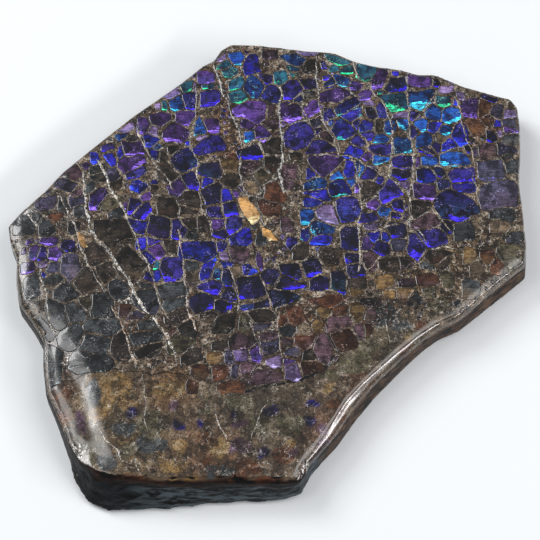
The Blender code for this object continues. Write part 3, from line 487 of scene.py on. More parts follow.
class Edge:
    """The slab's outline, asked how far a place is from it and which way it faces there."""

    def __init__(self, ring):
        self.facing = []
        places = []
        for start, end in zip(ring, ring[1:] + ring[:1]):
            along = end - start
            steps = max(1, round(along.length / (0.5 * MM)))
            for step in range(steps):
                places.append(start.lerp(end, step / steps))
        reach = round(4.0 * MM / (0.5 * MM))
        for index in range(len(places)):
            along = places[(index + reach) % len(places)] - places[index - reach]
            self.facing.append(Vector((along.y, -along.x)).normalized())
        self.tree = KDTree(len(places))
        for index, place in enumerate(places):
            self.tree.insert((place.x, place.y, 0.0), index)
        self.tree.balance()

    def nearest(self, place):
        _, index, distance = self.tree.find((place.x, place.y, 0.0))
        return distance, self.facing[index]

    def drop(self, place):
        """How far the polish has rounded the top down: widely on the left, less in front."""
        distance, facing = self.nearest(place)
        left = smooth_step(0.55, 0.9, -facing.x)
        right = smooth_step(0.2, 0.6, -facing.y) * smooth_step(0.2, 0.5, facing.x)
        roll = 0.9 + 2.9 * left + 2.2 * right
        share = max(0.0, 1.0 - distance / (roll * MM))
        return 0.25 * roll * share * share * MM


def behind_ledge(place, ledge):
    """How far a place lies behind the ledge."""
    for start, end in zip(ledge, ledge[1:]):
        if place.x <= end.x or end is ledge[-1]:
            share = (place.x - start.x) / (end.x - start.x)
            return place.y - (start.y + (end.y - start.y) * share)


def plate_blank(plate, rng, growth=PLATE_GROWTH):
    """The uncut shape of one plate: a turned box with its corners knocked off."""
    pixel_x, pixel_y, width, height, turn = plate
    centre = photo_point(pixel_x, pixel_y)
    along = Vector((math.cos(math.radians(turn)), math.sin(math.radians(turn))))
    across = Vector((-along.y, along.x))
    half_width = width * PIXEL / 2.0 * growth
    half_height = height * PIXEL / 2.0 / math.sin(CAMERA_ELEVATION) * growth
    shape = []
    for side, rise, first in ((1, -1, 1), (1, 1, 0), (-1, 1, 1), (-1, -1, 0)):
        cuts = (rng.uniform(0.1, 0.55), rng.uniform(0.1, 0.55))
        ends = [(1.0, 1.0 - cuts[0]), (1.0 - cuts[1], 1.0)]
        if first:
            ends.reverse()
        for share_x, share_y in ends:
            push = rng.uniform(0.94, 1.06)
            shape.append(centre + (along * side * share_x * half_width +
                                   across * rise * share_y * half_height) * push)
    return centre, shape


def reach_towards(centre, shape, heading):
    """How far a shape stretches from its middle in one direction."""
    return max((corner - centre).dot(heading) for corner in shape)


def centre_tree(blanks):
    """The middles of the plates, kept for finding neighbours."""
    tree = KDTree(len(blanks))
    for index, (_, _, centre, _) in enumerate(blanks):
        tree.insert((centre.x, centre.y, 0.0), index)
    tree.balance()
    return tree


def cut_apart(blanks, plate_count):
    """Trim the plates where they meet, so that a thin vein is left between neighbours."""
    tree = centre_tree(blanks)
    finished = []
    for index, (kind, turn, centre, shape) in enumerate(blanks):
        cut = shape
        for _, other_index, distance in tree.find_range((centre.x, centre.y, 0.0), 8.0 * MM):
            if other_index == index or distance < 0.05 * MM or len(cut) < 3:
                continue
            if index < plate_count <= other_index:
                continue
            _, _, other_centre, other_shape = blanks[other_index]
            heading = (other_centre - centre).normalized()
            near = reach_towards(centre, shape, heading)
            far = reach_towards(other_centre, other_shape, -heading)
            gap = (0.13 + 1.4 * noise.noise((centre + other_centre).to_3d() * 90.0) ** 2) * MM
            if near + far + gap > distance:
                share = near / (near + far)
                if index >= plate_count > other_index:
                    share = max(0.0, 1.0 - far / distance)
                cut = clip(cut, centre + heading * (distance * share - gap / 2.0), -heading)
        if len(cut) > 2 and polygon_area(cut) > 0.3 * MM * MM:
            finished.append((kind, turn, cut))
    return finished


def crumb_blanks(blanks, outline, rng):
    """Small bits of broken shell in the rock between the plates."""
    tree = centre_tree(blanks)
    ledge = [photo_point(*pixel) for pixel in LEDGE]
    crumbs = []
    for _ in range(CRUMB_TRIES):
        pixel = (rng.uniform(5.0, 530.0), rng.uniform(45.0, 385.0))
        size = rng.choice((2.5, 3.5, 4.5, 6.0))
        place = photo_point(*pixel)
        if behind_ledge(place, ledge) < 0.4 * MM or not is_inside(place, outline):
            continue
        near = [blanks[index] for _, index, _ in tree.find_n((place.x, place.y, 0.0), 6)]
        if any(is_inside(place, shape) for _, _, _, shape in near):
            continue
        closest = near[0][0]
        kind = rng.choice((closest, closest, "umber", "grit", "rust" if closest in DULL_KINDS else "pearl"))
        plate = (pixel[0], pixel[1], size * rng.uniform(0.8, 1.6), size, rng.uniform(0.0, 60.0))
        crumbs.append((kind, plate[4]) + plate_blank(plate, rng, 1.0))
    return crumbs


def is_inside(point, outline):
    """Whether a point lies inside a ring of points."""
    inside = False
    for start, end in zip(outline, outline[1:] + outline[:1]):
        if (start.y > point.y) != (end.y > point.y):
            crossing = start.x + (end.x - start.x) * (point.y - start.y) / (end.y - start.y)
            if point.x < crossing:
                inside = not inside
    return inside


def trim_to_outline(corners, outline):
    """The part of a cell inside the outline, cut along each side of the outline that it meets."""
    centre = sum(corners, Vector((0.0, 0.0))) / len(corners)
    reach = max((corner - centre).length for corner in corners)
    shape = corners
    for start, end in zip(outline, outline[1:] + outline[:1]):
        along = end - start
        share = min(max((centre - start).dot(along) / along.length_squared, 0.0), 1.0)
        if (start + along * share - centre).length > reach or len(shape) < 3:
            continue
        inward = Vector((-along.y, along.x)).normalized()
        outside = [corner for corner in shape if (corner - start).dot(inward) < 0.0]
        beside = [corner for corner in outside
                  if -0.6 < ((corner - start).dot(along) / along.length_squared) < 1.6]
        if beside:
            shape = clip(shape, start, inward)
    return shape


def clip(corners, point, inward):
    """The part of a polygon on the inward side of a line through a point."""
    kept = []
    for index, corner in enumerate(corners):
        following = corners[(index + 1) % len(corners)]
        here = (corner - point).dot(inward)
        there = (following - point).dot(inward)
        if here >= 0.0:
            kept.append(corner)
        if here * there < 0.0:
            kept.append(corner.lerp(following, here / (here - there)))
    return kept


def polygon_area(corners):
    """Area of a polygon."""
    turns = sum(a.x * b.y - b.x * a.y for a, b in zip(corners, corners[1:] + corners[:1]))
    return abs(turns) / 2.0


def rounded(corners, rounds):
    """A polygon with its corners cut twice and its long sides divided."""
    shape = corners
    for share in rounds:
        cut = []
        for index, corner in enumerate(shape):
            following = shape[(index + 1) % len(shape)]
            cut.append(corner.lerp(following, share))
            cut.append(corner.lerp(following, 1.0 - share))
        shape = cut
    divided = []
    for index, corner in enumerate(shape):
        following = shape[(index + 1) % len(shape)]
        divided.append(corner)
        steps = int((following - corner).length / (0.6 * MM))
        for step in range(1, steps + 1):
            divided.append(corner.lerp(following, step / (steps + 1)))
    return divided


def zone_weights(place, zones):
    """How strongly each zone reaches a place."""
    weights = []
    for zone in zones:
        distance = (place - zone[0]).length / zone[1]
        weights.append(math.exp(-1.6 * distance * distance) + 1e-9)
    return weights


def reach_of_spots(place, spots):
    """How far a place lies within a list of round spots, from 0 to 1."""
    reach = 0.0
    for centre, radius in spots:
        reach = max(reach, 1.0 - smooth_step(0.6, 1.15, (place - centre).length / radius))
    return reach


def place_spots(spots):
    """Round spots given in pixels, as places and radii on the slab."""
    return [(photo_point(spot[0], spot[1]), spot[2] * PIXEL) for spot in spots]


def stone_mesh():
    """The slab as an even fine mesh made from the frame's solid."""
    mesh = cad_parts[NODE].data.copy()
    mesh.name = "slab_stone"
    piece = bpy.data.objects.new("slab_stone", mesh)
    bpy.context.scene.collection.objects.link(piece)
    remesh = piece.modifiers.new("even_grain", "REMESH")
    remesh.mode = "VOXEL"
    remesh.voxel_size = GRAIN
    polish = piece.modifiers.new("polish", "SMOOTH")
    polish.factor = 0.5
    polish.iterations = 4
    evaluated = piece.evaluated_get(bpy.context.evaluated_depsgraph_get())
    fine = bpy.data.meshes.new_from_object(evaluated)
    piece.modifiers.clear()
    piece.data = fine
    return piece


def swell(x, y):
    """Slow rise and fall of the polished top."""
    return 0.28 * MM * noise.noise(Vector((x, y, 0.0037)) * 38.0)


def top_height(x, y):
    """Height of the polished top at a place."""
    return TOP_HEIGHT - 0.15 * MM + swell(x, y)


def ground_colours(place, zones):
    """The rock's colour and the colour of its odd patches at a place."""
    weights = zone_weights(place, zones)
    total = sum(weights) + 0.35
    mixed = []
    for part in (0, 1):
        colour = linear(GROUND_COLOUR[part]) * 0.35
        for weight, zone in zip(weights, zones):
            colour = colour + zone[2 + part] * weight
        mixed.append(colour / total)
    return mixed


def read_blotches():
    """The blotches as places, axes, half sizes and colours."""
    blotches = []
    for kind, spots in BLOTCHES.items():
        for pixel_x, pixel_y, width, height, turn in spots:
            along = Vector((math.cos(math.radians(turn)), math.sin(math.radians(turn))))
            half = (width * PIXEL / 2.0, height * PIXEL / 2.0 / math.sin(CAMERA_ELEVATION))
            _, body, flash = [linear(colour) for colour in PLATE_KINDS[kind]]
            blotches.append((photo_point(pixel_x, pixel_y), along, half, body, flash.lerp(body, 0.75)))
    return blotches


def blotched(place, colour, patch, blotches):
    """The rock's two colours at a place, changed by the soft blotches there."""
    stir = noise.noise_vector(Vector((place.x, place.y, 0.02)) / (2.6 * MM)) * 1.1 * MM
    spot = Vector((place.x + stir.x, place.y + stir.y))
    for centre, along, half, body, flash in blotches:
        away = spot - centre
        if away.length > 1.3 * max(half):
            continue
        share_x = away.dot(along) / half[0]
        share_y = (away.y * along.x - away.x * along.y) / half[1]
        share = 1.0 - smooth_step(0.85, 1.08, math.hypot(share_x, share_y))
        colour = colour.lerp(body, share)
        patch = patch.lerp(flash, share)
    return colour, patch


def bend_drop(place, line):
    """How far the top has stepped down on the left of its bend."""
    side = 1e9
    for start, end in zip(line, line[1:]):
        along = end - start
        share = (place - start).dot(along) / along.length_squared
        if -0.2 < share < 1.2:
            across = (along.x * (place.y - start.y) - along.y * (place.x - start.x)) / along.length
            if abs(across) < abs(side):
                side = across
    if side > 1e8:
        return 0.0
    fade = smooth_step(line[-1].y - 1.0 * MM, line[-1].y + 6.0 * MM, place.y)
    fade *= smooth_step(line[0].y, line[0].y - 22.0 * MM, place.y)
    fade *= 0.95 + 0.15 * noise.noise(Vector((place.x, place.y, 0.03)) / (6.0 * MM))
    return BEND_DROP * fade * smooth_step(BEND_WIDTH / 2.0, -BEND_WIDTH / 2.0, side)


def dress_stone(piece, edge):
    """Smooth the top, roughen the broken sides and paint the rock's colours on the points."""
    zones = []
    for pixel_x, pixel_y, radius, colour, patch in GROUND_ZONES:
        zones.append((photo_point(pixel_x, pixel_y), radius * PIXEL, linear(colour), linear(patch)))
    chips = place_spots(ROUGH_SPOTS)
    blotches = read_blotches()
    ledge = [photo_point(*pixel) for pixel in LEDGE]
    bend = [photo_point(*pixel) for pixel in BEND]
    left_side = linear(ROCK_SIDE)
    right_side = linear(ROCK_RIGHT_SIDE)
    front_strip = linear(ROCK_FRONT_STRIP)
    front = linear(ROCK_FRONT)
    mesh = piece.data
    layers = {"ground": [], "patch": []}
    numbers = {"broken": [], "rough_and_glint": [], "mottle": []}
    normals = [vertex.normal.copy() for vertex in mesh.vertices]
    for vertex, normal in zip(mesh.vertices, normals):
        place = vertex.co
        level = Vector((place.x, place.y))
        top = smooth_step(0.25, 0.5, normal.z) * smooth_step(0.0075, 0.0083, place.z)
        ripple = noise.noise(Vector((place.x * 1.2, place.y, place.z * 2.2)) * 260.0)
        fine = noise.noise(place * 900.0)
        broken = smooth_step(0.15, 0.45, -normal.y) * smooth_step(-0.048, -0.052, place.y)
        broken *= smooth_step(8.0 * MM, 7.0 * MM, place.z + 0.6 * MM * ripple)
        bump = (0.04 + 0.35 * broken) * MM * ripple + (0.01 + 0.10 * broken) * MM * fine
        if normal.z < -0.7:
            bump = 0.0
        moved = place + normal * bump * (1.0 - top)
        if top > 0.0:
            polished = top_height(place.x, place.y) - edge.drop(level) - bend_drop(level, bend)
            distance = edge.nearest(level)[0]
            inner = smooth_step(1.0 * MM, 2.0 * MM, distance)
            polished = min(moved.z, polished) * (1.0 - inner) + polished * inner
            moved.z = moved.z * (1.0 - top) + polished * top
        # Rough hollows: the top is sunk a little there, and the rock material paints white glints by this
        # number.
        rough_and_glint = reach_of_spots(level, chips) * smooth_step(0.2, 0.6, normal.z)
        moved.z -= rough_and_glint * (0.10 + 0.30 * abs(fine)) * MM
        moved.z = max(moved.z, 0.0)
        colour, patch = ground_colours(level, zones)
        in_front = smooth_step(0.5 * MM, -1.0 * MM, behind_ledge(level, ledge))
        if in_front > 0.0 or place.x > 0.02:
            colour, patch = blotched(level, colour, patch, blotches)
        down = smooth_step(0.0085, 0.0065, place.z)
        side = left_side.lerp(right_side, smooth_step(0.006, 0.014, place.x))
        vertex.co = moved
        strip = smooth_step(0.25, 0.5, -normal.y) * smooth_step(-0.046, -0.048, place.y)
        colour = colour.lerp(front_strip, strip)
        patch = patch.lerp(front_strip, strip)
        # The front face's colour, darker towards its left end.
        front_dark_to_left = front * (0.15 + 0.85 * smooth_step(-0.038, -0.022, place.x + 0.004 * ripple))
        layers["ground"].append(colour.lerp(side, down * 0.9).lerp(front_dark_to_left, broken))
        layers["patch"].append(patch.lerp(side, down * 0.9).lerp(front, broken))
        numbers["broken"].append(broken)
        numbers["rough_and_glint"].append(rough_and_glint)
        numbers["mottle"].append(in_front * (1.0 - broken))
    store_layers(mesh, layers, numbers)
    mesh.shade_smooth()


def store_layers(mesh, layers, numbers):
    """Keep colours and numbers on a mesh's points, under their names."""
    for name, colours in layers.items():
        layer = mesh.attributes.new(name, "FLOAT_COLOR", "POINT")
        values = []
        for colour in colours:
            values.extend((colour[0], colour[1], colour[2], 1.0))
        layer.data.foreach_set("color", values)
    for name, values in numbers.items():
        layer = mesh.attributes.new(name, "FLOAT", "POINT")
        layer.data.foreach_set("value", values)


class Surface:
    """The dressed stone, asked for its height from above."""

    def __init__(self, piece):
        mesh = piece.data
        places = [vertex.co for vertex in mesh.vertices]
        faces = [polygon.vertices for polygon in mesh.polygons]
        self.tree = BVHTree.FromPolygons(places, faces)

    def height(self, x, y):
        spot = self.tree.ray_cast(Vector((x, y, 3.0 * TOP_HEIGHT)), Vector((0.0, 0.0, -1.0)))[0]
        return spot.z if spot else 0.0


def warped(place):
    """A place moved a little, so that straight cracks wander."""
    slow = noise.noise_vector(Vector((place.x, place.y, 0.0)) / (3.6 * MM)) * 0.7 * MM
    quick = noise.noise_vector(Vector((place.x, place.y, 0.01)) / (0.9 * MM)) * 0.16 * MM
    return Vector((place.x + slow.x + quick.x, place.y + slow.y + quick.y))


class Look:
    """The colours of one plate."""

    def __init__(self, kind, turn, rng):
        self.deep, self.body, self.flash = [linear(colour) for colour in PLATE_KINDS[kind]]
        light = rng.choice((0.55, 0.85, 1.15, 1.5) if kind in DULL_KINDS else (0.75, 1.15, 1.6, 2.2))
        self.deep = self.deep * light
        self.body = self.body * light
        cousin = rng.choice(DULL_KINDS if kind in DULL_KINDS else BRIGHT_KINDS)
        self.far = self.body.lerp(linear(PLATE_KINDS[cousin][1]), rng.choice((0.0, 0.25, 0.5)))
        self.start = rng.choice((-0.1, 0.25, 0.45))
        self.strength = rng.choice((0.6, 1.0, 1.25, 1.5))
        if kind in DULL_KINDS:
            self.strength = rng.choice((0.0, 0.3, 0.6))
        if kind == "cyan":
            self.start = 0.5
            self.strength = 1.2
        heading = math.radians(turn - 90.0 + rng.uniform(-35.0, 25.0))
        self.aim = Vector((math.cos(heading), math.sin(heading)))
        self.level = rng.uniform(0.0, 0.04) * MM
        self.tilt = Vector((rng.uniform(-0.012, 0.012), rng.uniform(-0.012, 0.012)))


class Tiles:
    """A mesh of thin plates that lie on the stone, with their colours kept on the points."""

    def __init__(self, surface):
        self.surface = surface
        self.points = []
        self.faces = []
        self.layers = {"deep": [], "body": [], "flash": []}
        self.numbers = {"rim": [], "glint": []}

    def add_point(self, place, lift, look, away, reach, rim):
        """One point of a plate, at an offset from the plate's middle."""
        spot = warped(place)
        height = self.surface.height(spot.x, spot.y)
        if height < RIM_HEIGHT:
            spot = place
            height = max(self.surface.height(spot.x, spot.y), RIM_HEIGHT)
        height += look.level + lift + look.tilt.dot(away)
        along = away.dot(look.aim) / reach
        self.points.append((spot.x, spot.y, height))
        self.layers["deep"].append(look.deep)
        self.layers["body"].append(look.body.lerp(look.far, smooth_step(-0.7, 0.7, along)))
        self.layers["flash"].append(look.flash)
        self.numbers["rim"].append(rim)
        self.numbers["glint"].append(smooth_step(look.start, 0.95, along) * look.strength)

    def add(self, shape, look, lift=0.0):
        """One plate with the outline given."""
        centre = sum(shape, Vector((0.0, 0.0))) / len(shape)
        radius = math.sqrt(polygon_area(shape) / math.pi)
        reach = reach_towards(centre, shape, look.aim)
        ring = rounded(shape, (0.06, 0.13) if radius > 1.3 * MM else (0.1,))
        count = len(ring)
        first = len(self.points)
        bands = [(1.0, -0.14 * MM, 1.0), (1.0 - 0.07 * MM / radius, 0.01 * MM, 1.0),
                 (1.0 - 0.30 * MM / max(radius, 0.6 * MM), 0.04 * MM, 0.2), (0.45, 0.05 * MM, 0.0)]
        for share, rise, rim in bands:
            for place in ring:
                away = (place - centre) * share
                self.add_point(centre + away, rise + lift, look, away, reach, rim)
        self.add_point(centre, 0.05 * MM + lift, look, Vector((0.0, 0.0)), reach, 0.0)
        for band in range(len(bands) - 1):
            for step in range(count):
                a = first + band * count + step
                b = first + band * count + (step + 1) % count
                self.faces.append((a, b, b + count, a + count))
        last = len(self.points) - 1
        for step in range(count):
            a = last - count + step
            b = last - count + (step + 1) % count
            self.faces.append((a, b, last))

    def make(self, name):
        """The piece with all the plates added."""
        mesh = bpy.data.meshes.new(name)
        mesh.from_pydata(self.points, [], self.faces)
        store_layers(mesh, self.layers, self.numbers)
        mesh.shade_smooth()
        piece = bpy.data.objects.new(name, mesh)
        bpy.context.scene.collection.objects.link(piece)
        return piece


def shell_plates(surface, outline, rng):
    """The inlaid plates of the top, each a low polished tile with its own colours."""
    blanks = []
    for kind, plates in PLATES.items():
        for plate in plates:
            blanks.append((kind, plate[4]) + plate_blank(plate, rng))
    plate_count = len(blanks)
    blanks += crumb_blanks(blanks, outline, rng)
    tiles = Tiles(surface)
    for kind, turn, shape in cut_apart(blanks, plate_count):
        shape = trim_to_outline(shape, outline)
        if len(shape) > 2 and polygon_area(shape) > 0.3 * MM * MM:
            tiles.add(shape, Look(kind, turn, rng))
    for kind, pixels in CHIPS:
        shape = [photo_point(*pixel) for pixel in pixels][::-1]
        tiles.add(shape, Look(kind, 20.0, rng), 0.06 * MM)
    return tiles.make("shell_plates")


def smooth_line(points, step):
    """Points read evenly along a smooth curve through the points given."""
    ends = [points[0] * 2.0 - points[1]] + points + [points[-1] * 2.0 - points[-2]]
    line = []
    for a, b, c, d in zip(ends, ends[1:], ends[2:], ends[3:]):
        count = max(1, round((c - b).length / step))
        for index in range(count):
            t = index / count
            line.append((b * 2.0 + (c - a) * t + (a * 2.0 - b * 5.0 + c * 4.0 - d) * t * t +
                         (b * 3.0 - a - c * 3.0 + d) * t * t * t) * 0.5)
    line.append(points[-1])
    return line


class Strips:
    """A mesh of ragged strips that follow lines on the stone."""

    def __init__(self, surface):
        self.surface = surface
        self.points = []
        self.faces = []
        self.layers = {"ground": [], "patch": []}
        self.numbers = {"broken": [], "rough_and_glint": [], "mottle": []}

    def add(self, width, pixels, tint, painted_glint_amount, crest):
        """One strip: its width, the pixels along it, its colour, how strongly glints are painted on it and how
        high it stands.
        """
        line = []
        for place in smooth_line([photo_point(*pixel) for pixel in pixels], 0.3 * MM):
            spot = warped(place)
            if self.surface.height(spot.x, spot.y) > RIM_HEIGHT:
                line.append(place)
        first = len(self.points)
        profile = ((-1.0, -0.12 * MM), (-0.6, crest * 0.6), (0.0, crest), (0.6, crest * 0.6),
                   (1.0, -0.12 * MM))
        for index, place in enumerate(line):
            ahead = line[min(index + 1, len(line) - 1)] - line[max(index - 1, 0)]
            across = Vector((-ahead.y, ahead.x)).normalized()
            ends = 0.3 + 0.7 * smooth_step(0.0, 5.0, min(index, len(line) - 1 - index))
            for share, rise in profile:
                seed = Vector((place.x, place.y, 0.002 * share)) / (0.7 * MM)
                ragged = 1.1 + 1.2 * noise.noise(seed)
                spot = warped(place + across * share * ragged * width * 0.5 * MM * ends)
                height = self.surface.height(spot.x, spot.y) + rise * ends
                self.points.append((spot.x, spot.y, height))
                self.layers["ground"].append(tint)
                self.layers["patch"].append(tint * 1.5)
                self.numbers["broken"].append(0.0)
                # How strongly the rock material paints white glints on this strip.
                self.numbers["rough_and_glint"].append(painted_glint_amount)
                self.numbers["mottle"].append(1.0 if painted_glint_amount == 0.0 else 0.0)
        count = len(profile)
        for index in range(len(line) - 1):
            for side in range(count - 1):
                a = first + index * count + side
                self.faces.append((a, a + 1, a + 1 + count, a + count))

    def make(self, name):
        mesh = bpy.data.meshes.new(name)
        mesh.from_pydata(self.points, [], self.faces)
        store_layers(mesh, self.layers, self.numbers)
        mesh.shade_smooth()
        piece = bpy.data.objects.new(name, mesh)
        bpy.context.scene.collection.objects.link(piece)
        return piece


def raised_veins(surface):
    """Veins that stand a hair above the plates, dark cracks that lie nearly flush, and a band of painted shadow
    along the ledge.
    """
    strips = Strips(surface)
    for width, colour, painted_glint_amount, pixels in VEINS:
        strips.add(width, pixels, linear(colour), painted_glint_amount, 0.12 * MM)
    # Dark cracks, and two wide strips of painted shadow along the ledge.
    for width, pixels in CRACKS_AND_LEDGE_SHADOW:
        strips.add(width, pixels, linear(CRACK_AND_SHADOW_COLOUR), 0.0, 0.06 * MM)
    return strips.make("raised_veins")


class Nodes:
    """Short ways to build a material's node tree."""

    def __init__(self, name):
        self.material = bpy.data.materials.new(name)
        self.material.use_nodes = True
        self.tree = self.material.node_tree
        self.shader = self.tree.nodes["Principled BSDF"]
        self.place = self.tree.nodes.new("ShaderNodeTexCoord").outputs["Object"]

    def link(self, source, target):
        self.tree.links.new(source, target)

    def attribute(self, name, output):
        node = self.tree.nodes.new("ShaderNodeAttribute")
        node.attribute_name = name
        return node.outputs[output]

    def mapped(self, turn, scale):
        node = self.tree.nodes.new("ShaderNodeMapping")
        node.inputs["Rotation"].default_value = (0.0, 0.0, turn)
        node.inputs["Scale"].default_value = scale
        self.link(self.place, node.inputs["Vector"])
        return node.outputs["Vector"]

    def noise(self, grain, detail=2.0, rough=0.5, place=None, twist=0.0):
        node = self.tree.nodes.new("ShaderNodeTexNoise")
        node.inputs["Scale"].default_value = 1.0 / grain
        node.inputs["Detail"].default_value = detail
        node.inputs["Roughness"].default_value = rough
        node.inputs["Distortion"].default_value = twist
        self.link(place or self.place, node.inputs["Vector"])
        return node.outputs["Fac"]

    def stirred(self, grain, amount):
        """Places moved about by noise, so that cells drawn from them look grown."""
        node = self.tree.nodes.new("ShaderNodeTexNoise")
        node.inputs["Scale"].default_value = 1.0 / grain
        node.inputs["Detail"].default_value = 2.0
        self.link(self.place, node.inputs["Vector"])
        shift = self.tree.nodes.new("ShaderNodeVectorMath")
        shift.operation = "MULTIPLY_ADD"
        self.link(node.outputs["Color"], shift.inputs[0])
        shift.inputs[1].default_value = (amount, amount, amount)
        self.link(self.place, shift.inputs[2])
        return shift.outputs["Vector"]

    def cells(self, grain, place, feature="F1"):
        """A cell pattern: each cell's own colour, or the distance to its edge."""
        node = self.tree.nodes.new("ShaderNodeTexVoronoi")
        node.feature = feature
        node.inputs["Scale"].default_value = 1.0 / grain
        self.link(place, node.inputs["Vector"])
        return node.outputs["Color"] if feature == "F1" else node.outputs["Distance"]

    def channel(self, colour, index):
        node = self.tree.nodes.new("ShaderNodeSeparateColor")
        self.link(colour, node.inputs["Color"])
        return node.outputs[index]

    def ramp(self, source, low, high):
        node = self.tree.nodes.new("ShaderNodeMapRange")
        node.inputs["From Min"].default_value = low
        node.inputs["From Max"].default_value = high
        self.link(source, node.inputs["Value"])
        return node.outputs["Result"]

    def math(self, operation, first, second):
        node = self.tree.nodes.new("ShaderNodeMath")
        node.operation = operation
        for value, socket in zip((first, second), node.inputs):
            if isinstance(value, (int, float)):
                socket.default_value = value
            else:
                self.link(value, socket)
        return node.outputs["Value"]

    def threads(self, grain, width):
        """Thin wandering lines, 1 on the line and 0 beside it."""
        wander = self.math("SUBTRACT", self.noise(grain, 3.0, 0.6), 0.5)
        return self.ramp(self.math("ABSOLUTE", wander, 0.0), width, width * 0.4)

    def mix(self, share, first, second, blend="MIX"):
        node = self.tree.nodes.new("ShaderNodeMix")
        node.data_type = "RGBA"
        node.blend_type = blend
        pairs = ((share, node.inputs["Factor"]), (first, node.inputs[6]), (second, node.inputs[7]))
        for value, socket in pairs:
            if isinstance(value, (int, float, tuple)):
                socket.default_value = value
            else:
                self.link(value, socket)
        return node.outputs[2]

    def bump(self, height, distance, strength=1.0):
        node = self.tree.nodes.new("ShaderNodeBump")
        node.inputs["Strength"].default_value = strength
        node.inputs["Distance"].default_value = distance
        self.link(height, node.inputs["Height"])
        self.link(node.outputs["Normal"], self.shader.inputs["Normal"])


def plate_material():
    """Polished shell: dark depths, a clouded body, fine growth lines and bright flashes."""
    nodes = Nodes("ammolite_plates")
    deep = nodes.attribute("deep", "Color")
    body = nodes.attribute("body", "Color")
    flash = nodes.attribute("flash", "Color")
    glint = nodes.attribute("glint", "Fac")
    rim = nodes.attribute("rim", "Fac")
    cloud = nodes.ramp(nodes.noise(2.2 * MM, 4.0, 0.66), 0.42, 0.62)
    lines = nodes.noise(1.0 * MM, 3.0, 0.6, nodes.mapped(math.radians(-25.0), (0.4, 3.2, 1.0)), 0.6)
    share = nodes.math("MULTIPLY", cloud, nodes.math("ADD", nodes.ramp(lines, 0.40, 0.60), 0.45))
    colour = nodes.mix(share, deep, body)
    sparks = nodes.noise(1.3 * MM, 5.0, 0.72)
    shine = nodes.ramp(nodes.math("ADD", nodes.math("MULTIPLY", glint, 0.42), sparks), 0.76, 0.84)
    shine = nodes.math("MULTIPLY", shine, nodes.ramp(lines, 0.43, 0.54))
    bright = nodes.mix(nodes.ramp(nodes.noise(1.6 * MM, 3.0, 0.6), 0.45, 0.60), flash,
                       nodes.mix(1.0, flash, (2.2, 2.5, 2.4, 1.0), "MULTIPLY"))
    colour = nodes.mix(nodes.math("MULTIPLY", shine, nodes.ramp(glint, 0.02, 0.10)), colour, bright)
    # Painted glints: pale pinkish-white specks on the plates.
    pearl = nodes.ramp(nodes.noise(0.5 * MM, 2.0, 0.8), 0.58, 0.64)
    pearl = nodes.math("MULTIPLY", pearl, nodes.ramp(nodes.noise(3.4 * MM, 3.0), 0.55, 0.64))
    colour = nodes.mix(nodes.math("MULTIPLY", pearl, 0.75), colour,
                       nodes.mix(0.45, flash, (0.75, 0.68, 0.72, 1.0)))
    dark = nodes.math("MULTIPLY", rim, nodes.ramp(nodes.noise(1.3 * MM, 2.0, 0.5), 0.34, 0.48))
    colour = nodes.mix(nodes.math("MULTIPLY", dark, 0.96), colour, (0.003, 0.002, 0.002, 1.0))
    grit = nodes.ramp(nodes.noise(0.5 * MM, 3.0, 0.75), 0.62, 0.68)
    grit = nodes.math("MULTIPLY", grit, nodes.ramp(nodes.noise(3.0 * MM, 3.0), 0.50, 0.60))
    colour = nodes.mix(nodes.math("MULTIPLY", grit, 0.6), colour, (0.34, 0.28, 0.24, 1.0))
    colour = nodes.mix(nodes.threads(3.2 * MM, 0.009), colour, (0.008, 0.006, 0.008, 1.0))
    scratches = nodes.math("MULTIPLY", nodes.threads(2.2 * MM, 0.006),
                           nodes.ramp(nodes.noise(3.0 * MM, 2.0), 0.55, 0.62))
    colour = nodes.mix(nodes.math("MULTIPLY", scratches, 0.7), colour,
                       nodes.mix(0.4, flash, (0.5, 0.46, 0.5, 1.0)))
    nodes.link(colour, nodes.shader.inputs["Base Color"])
    nodes.shader.inputs["Roughness"].default_value = 0.2
    nodes.shader.inputs["Coat Weight"].default_value = 0.6
    nodes.shader.inputs["Coat Roughness"].default_value = 0.09
    nodes.bump(nodes.math("ADD", lines, sparks), 0.035 * MM, 0.5)
    return nodes.material


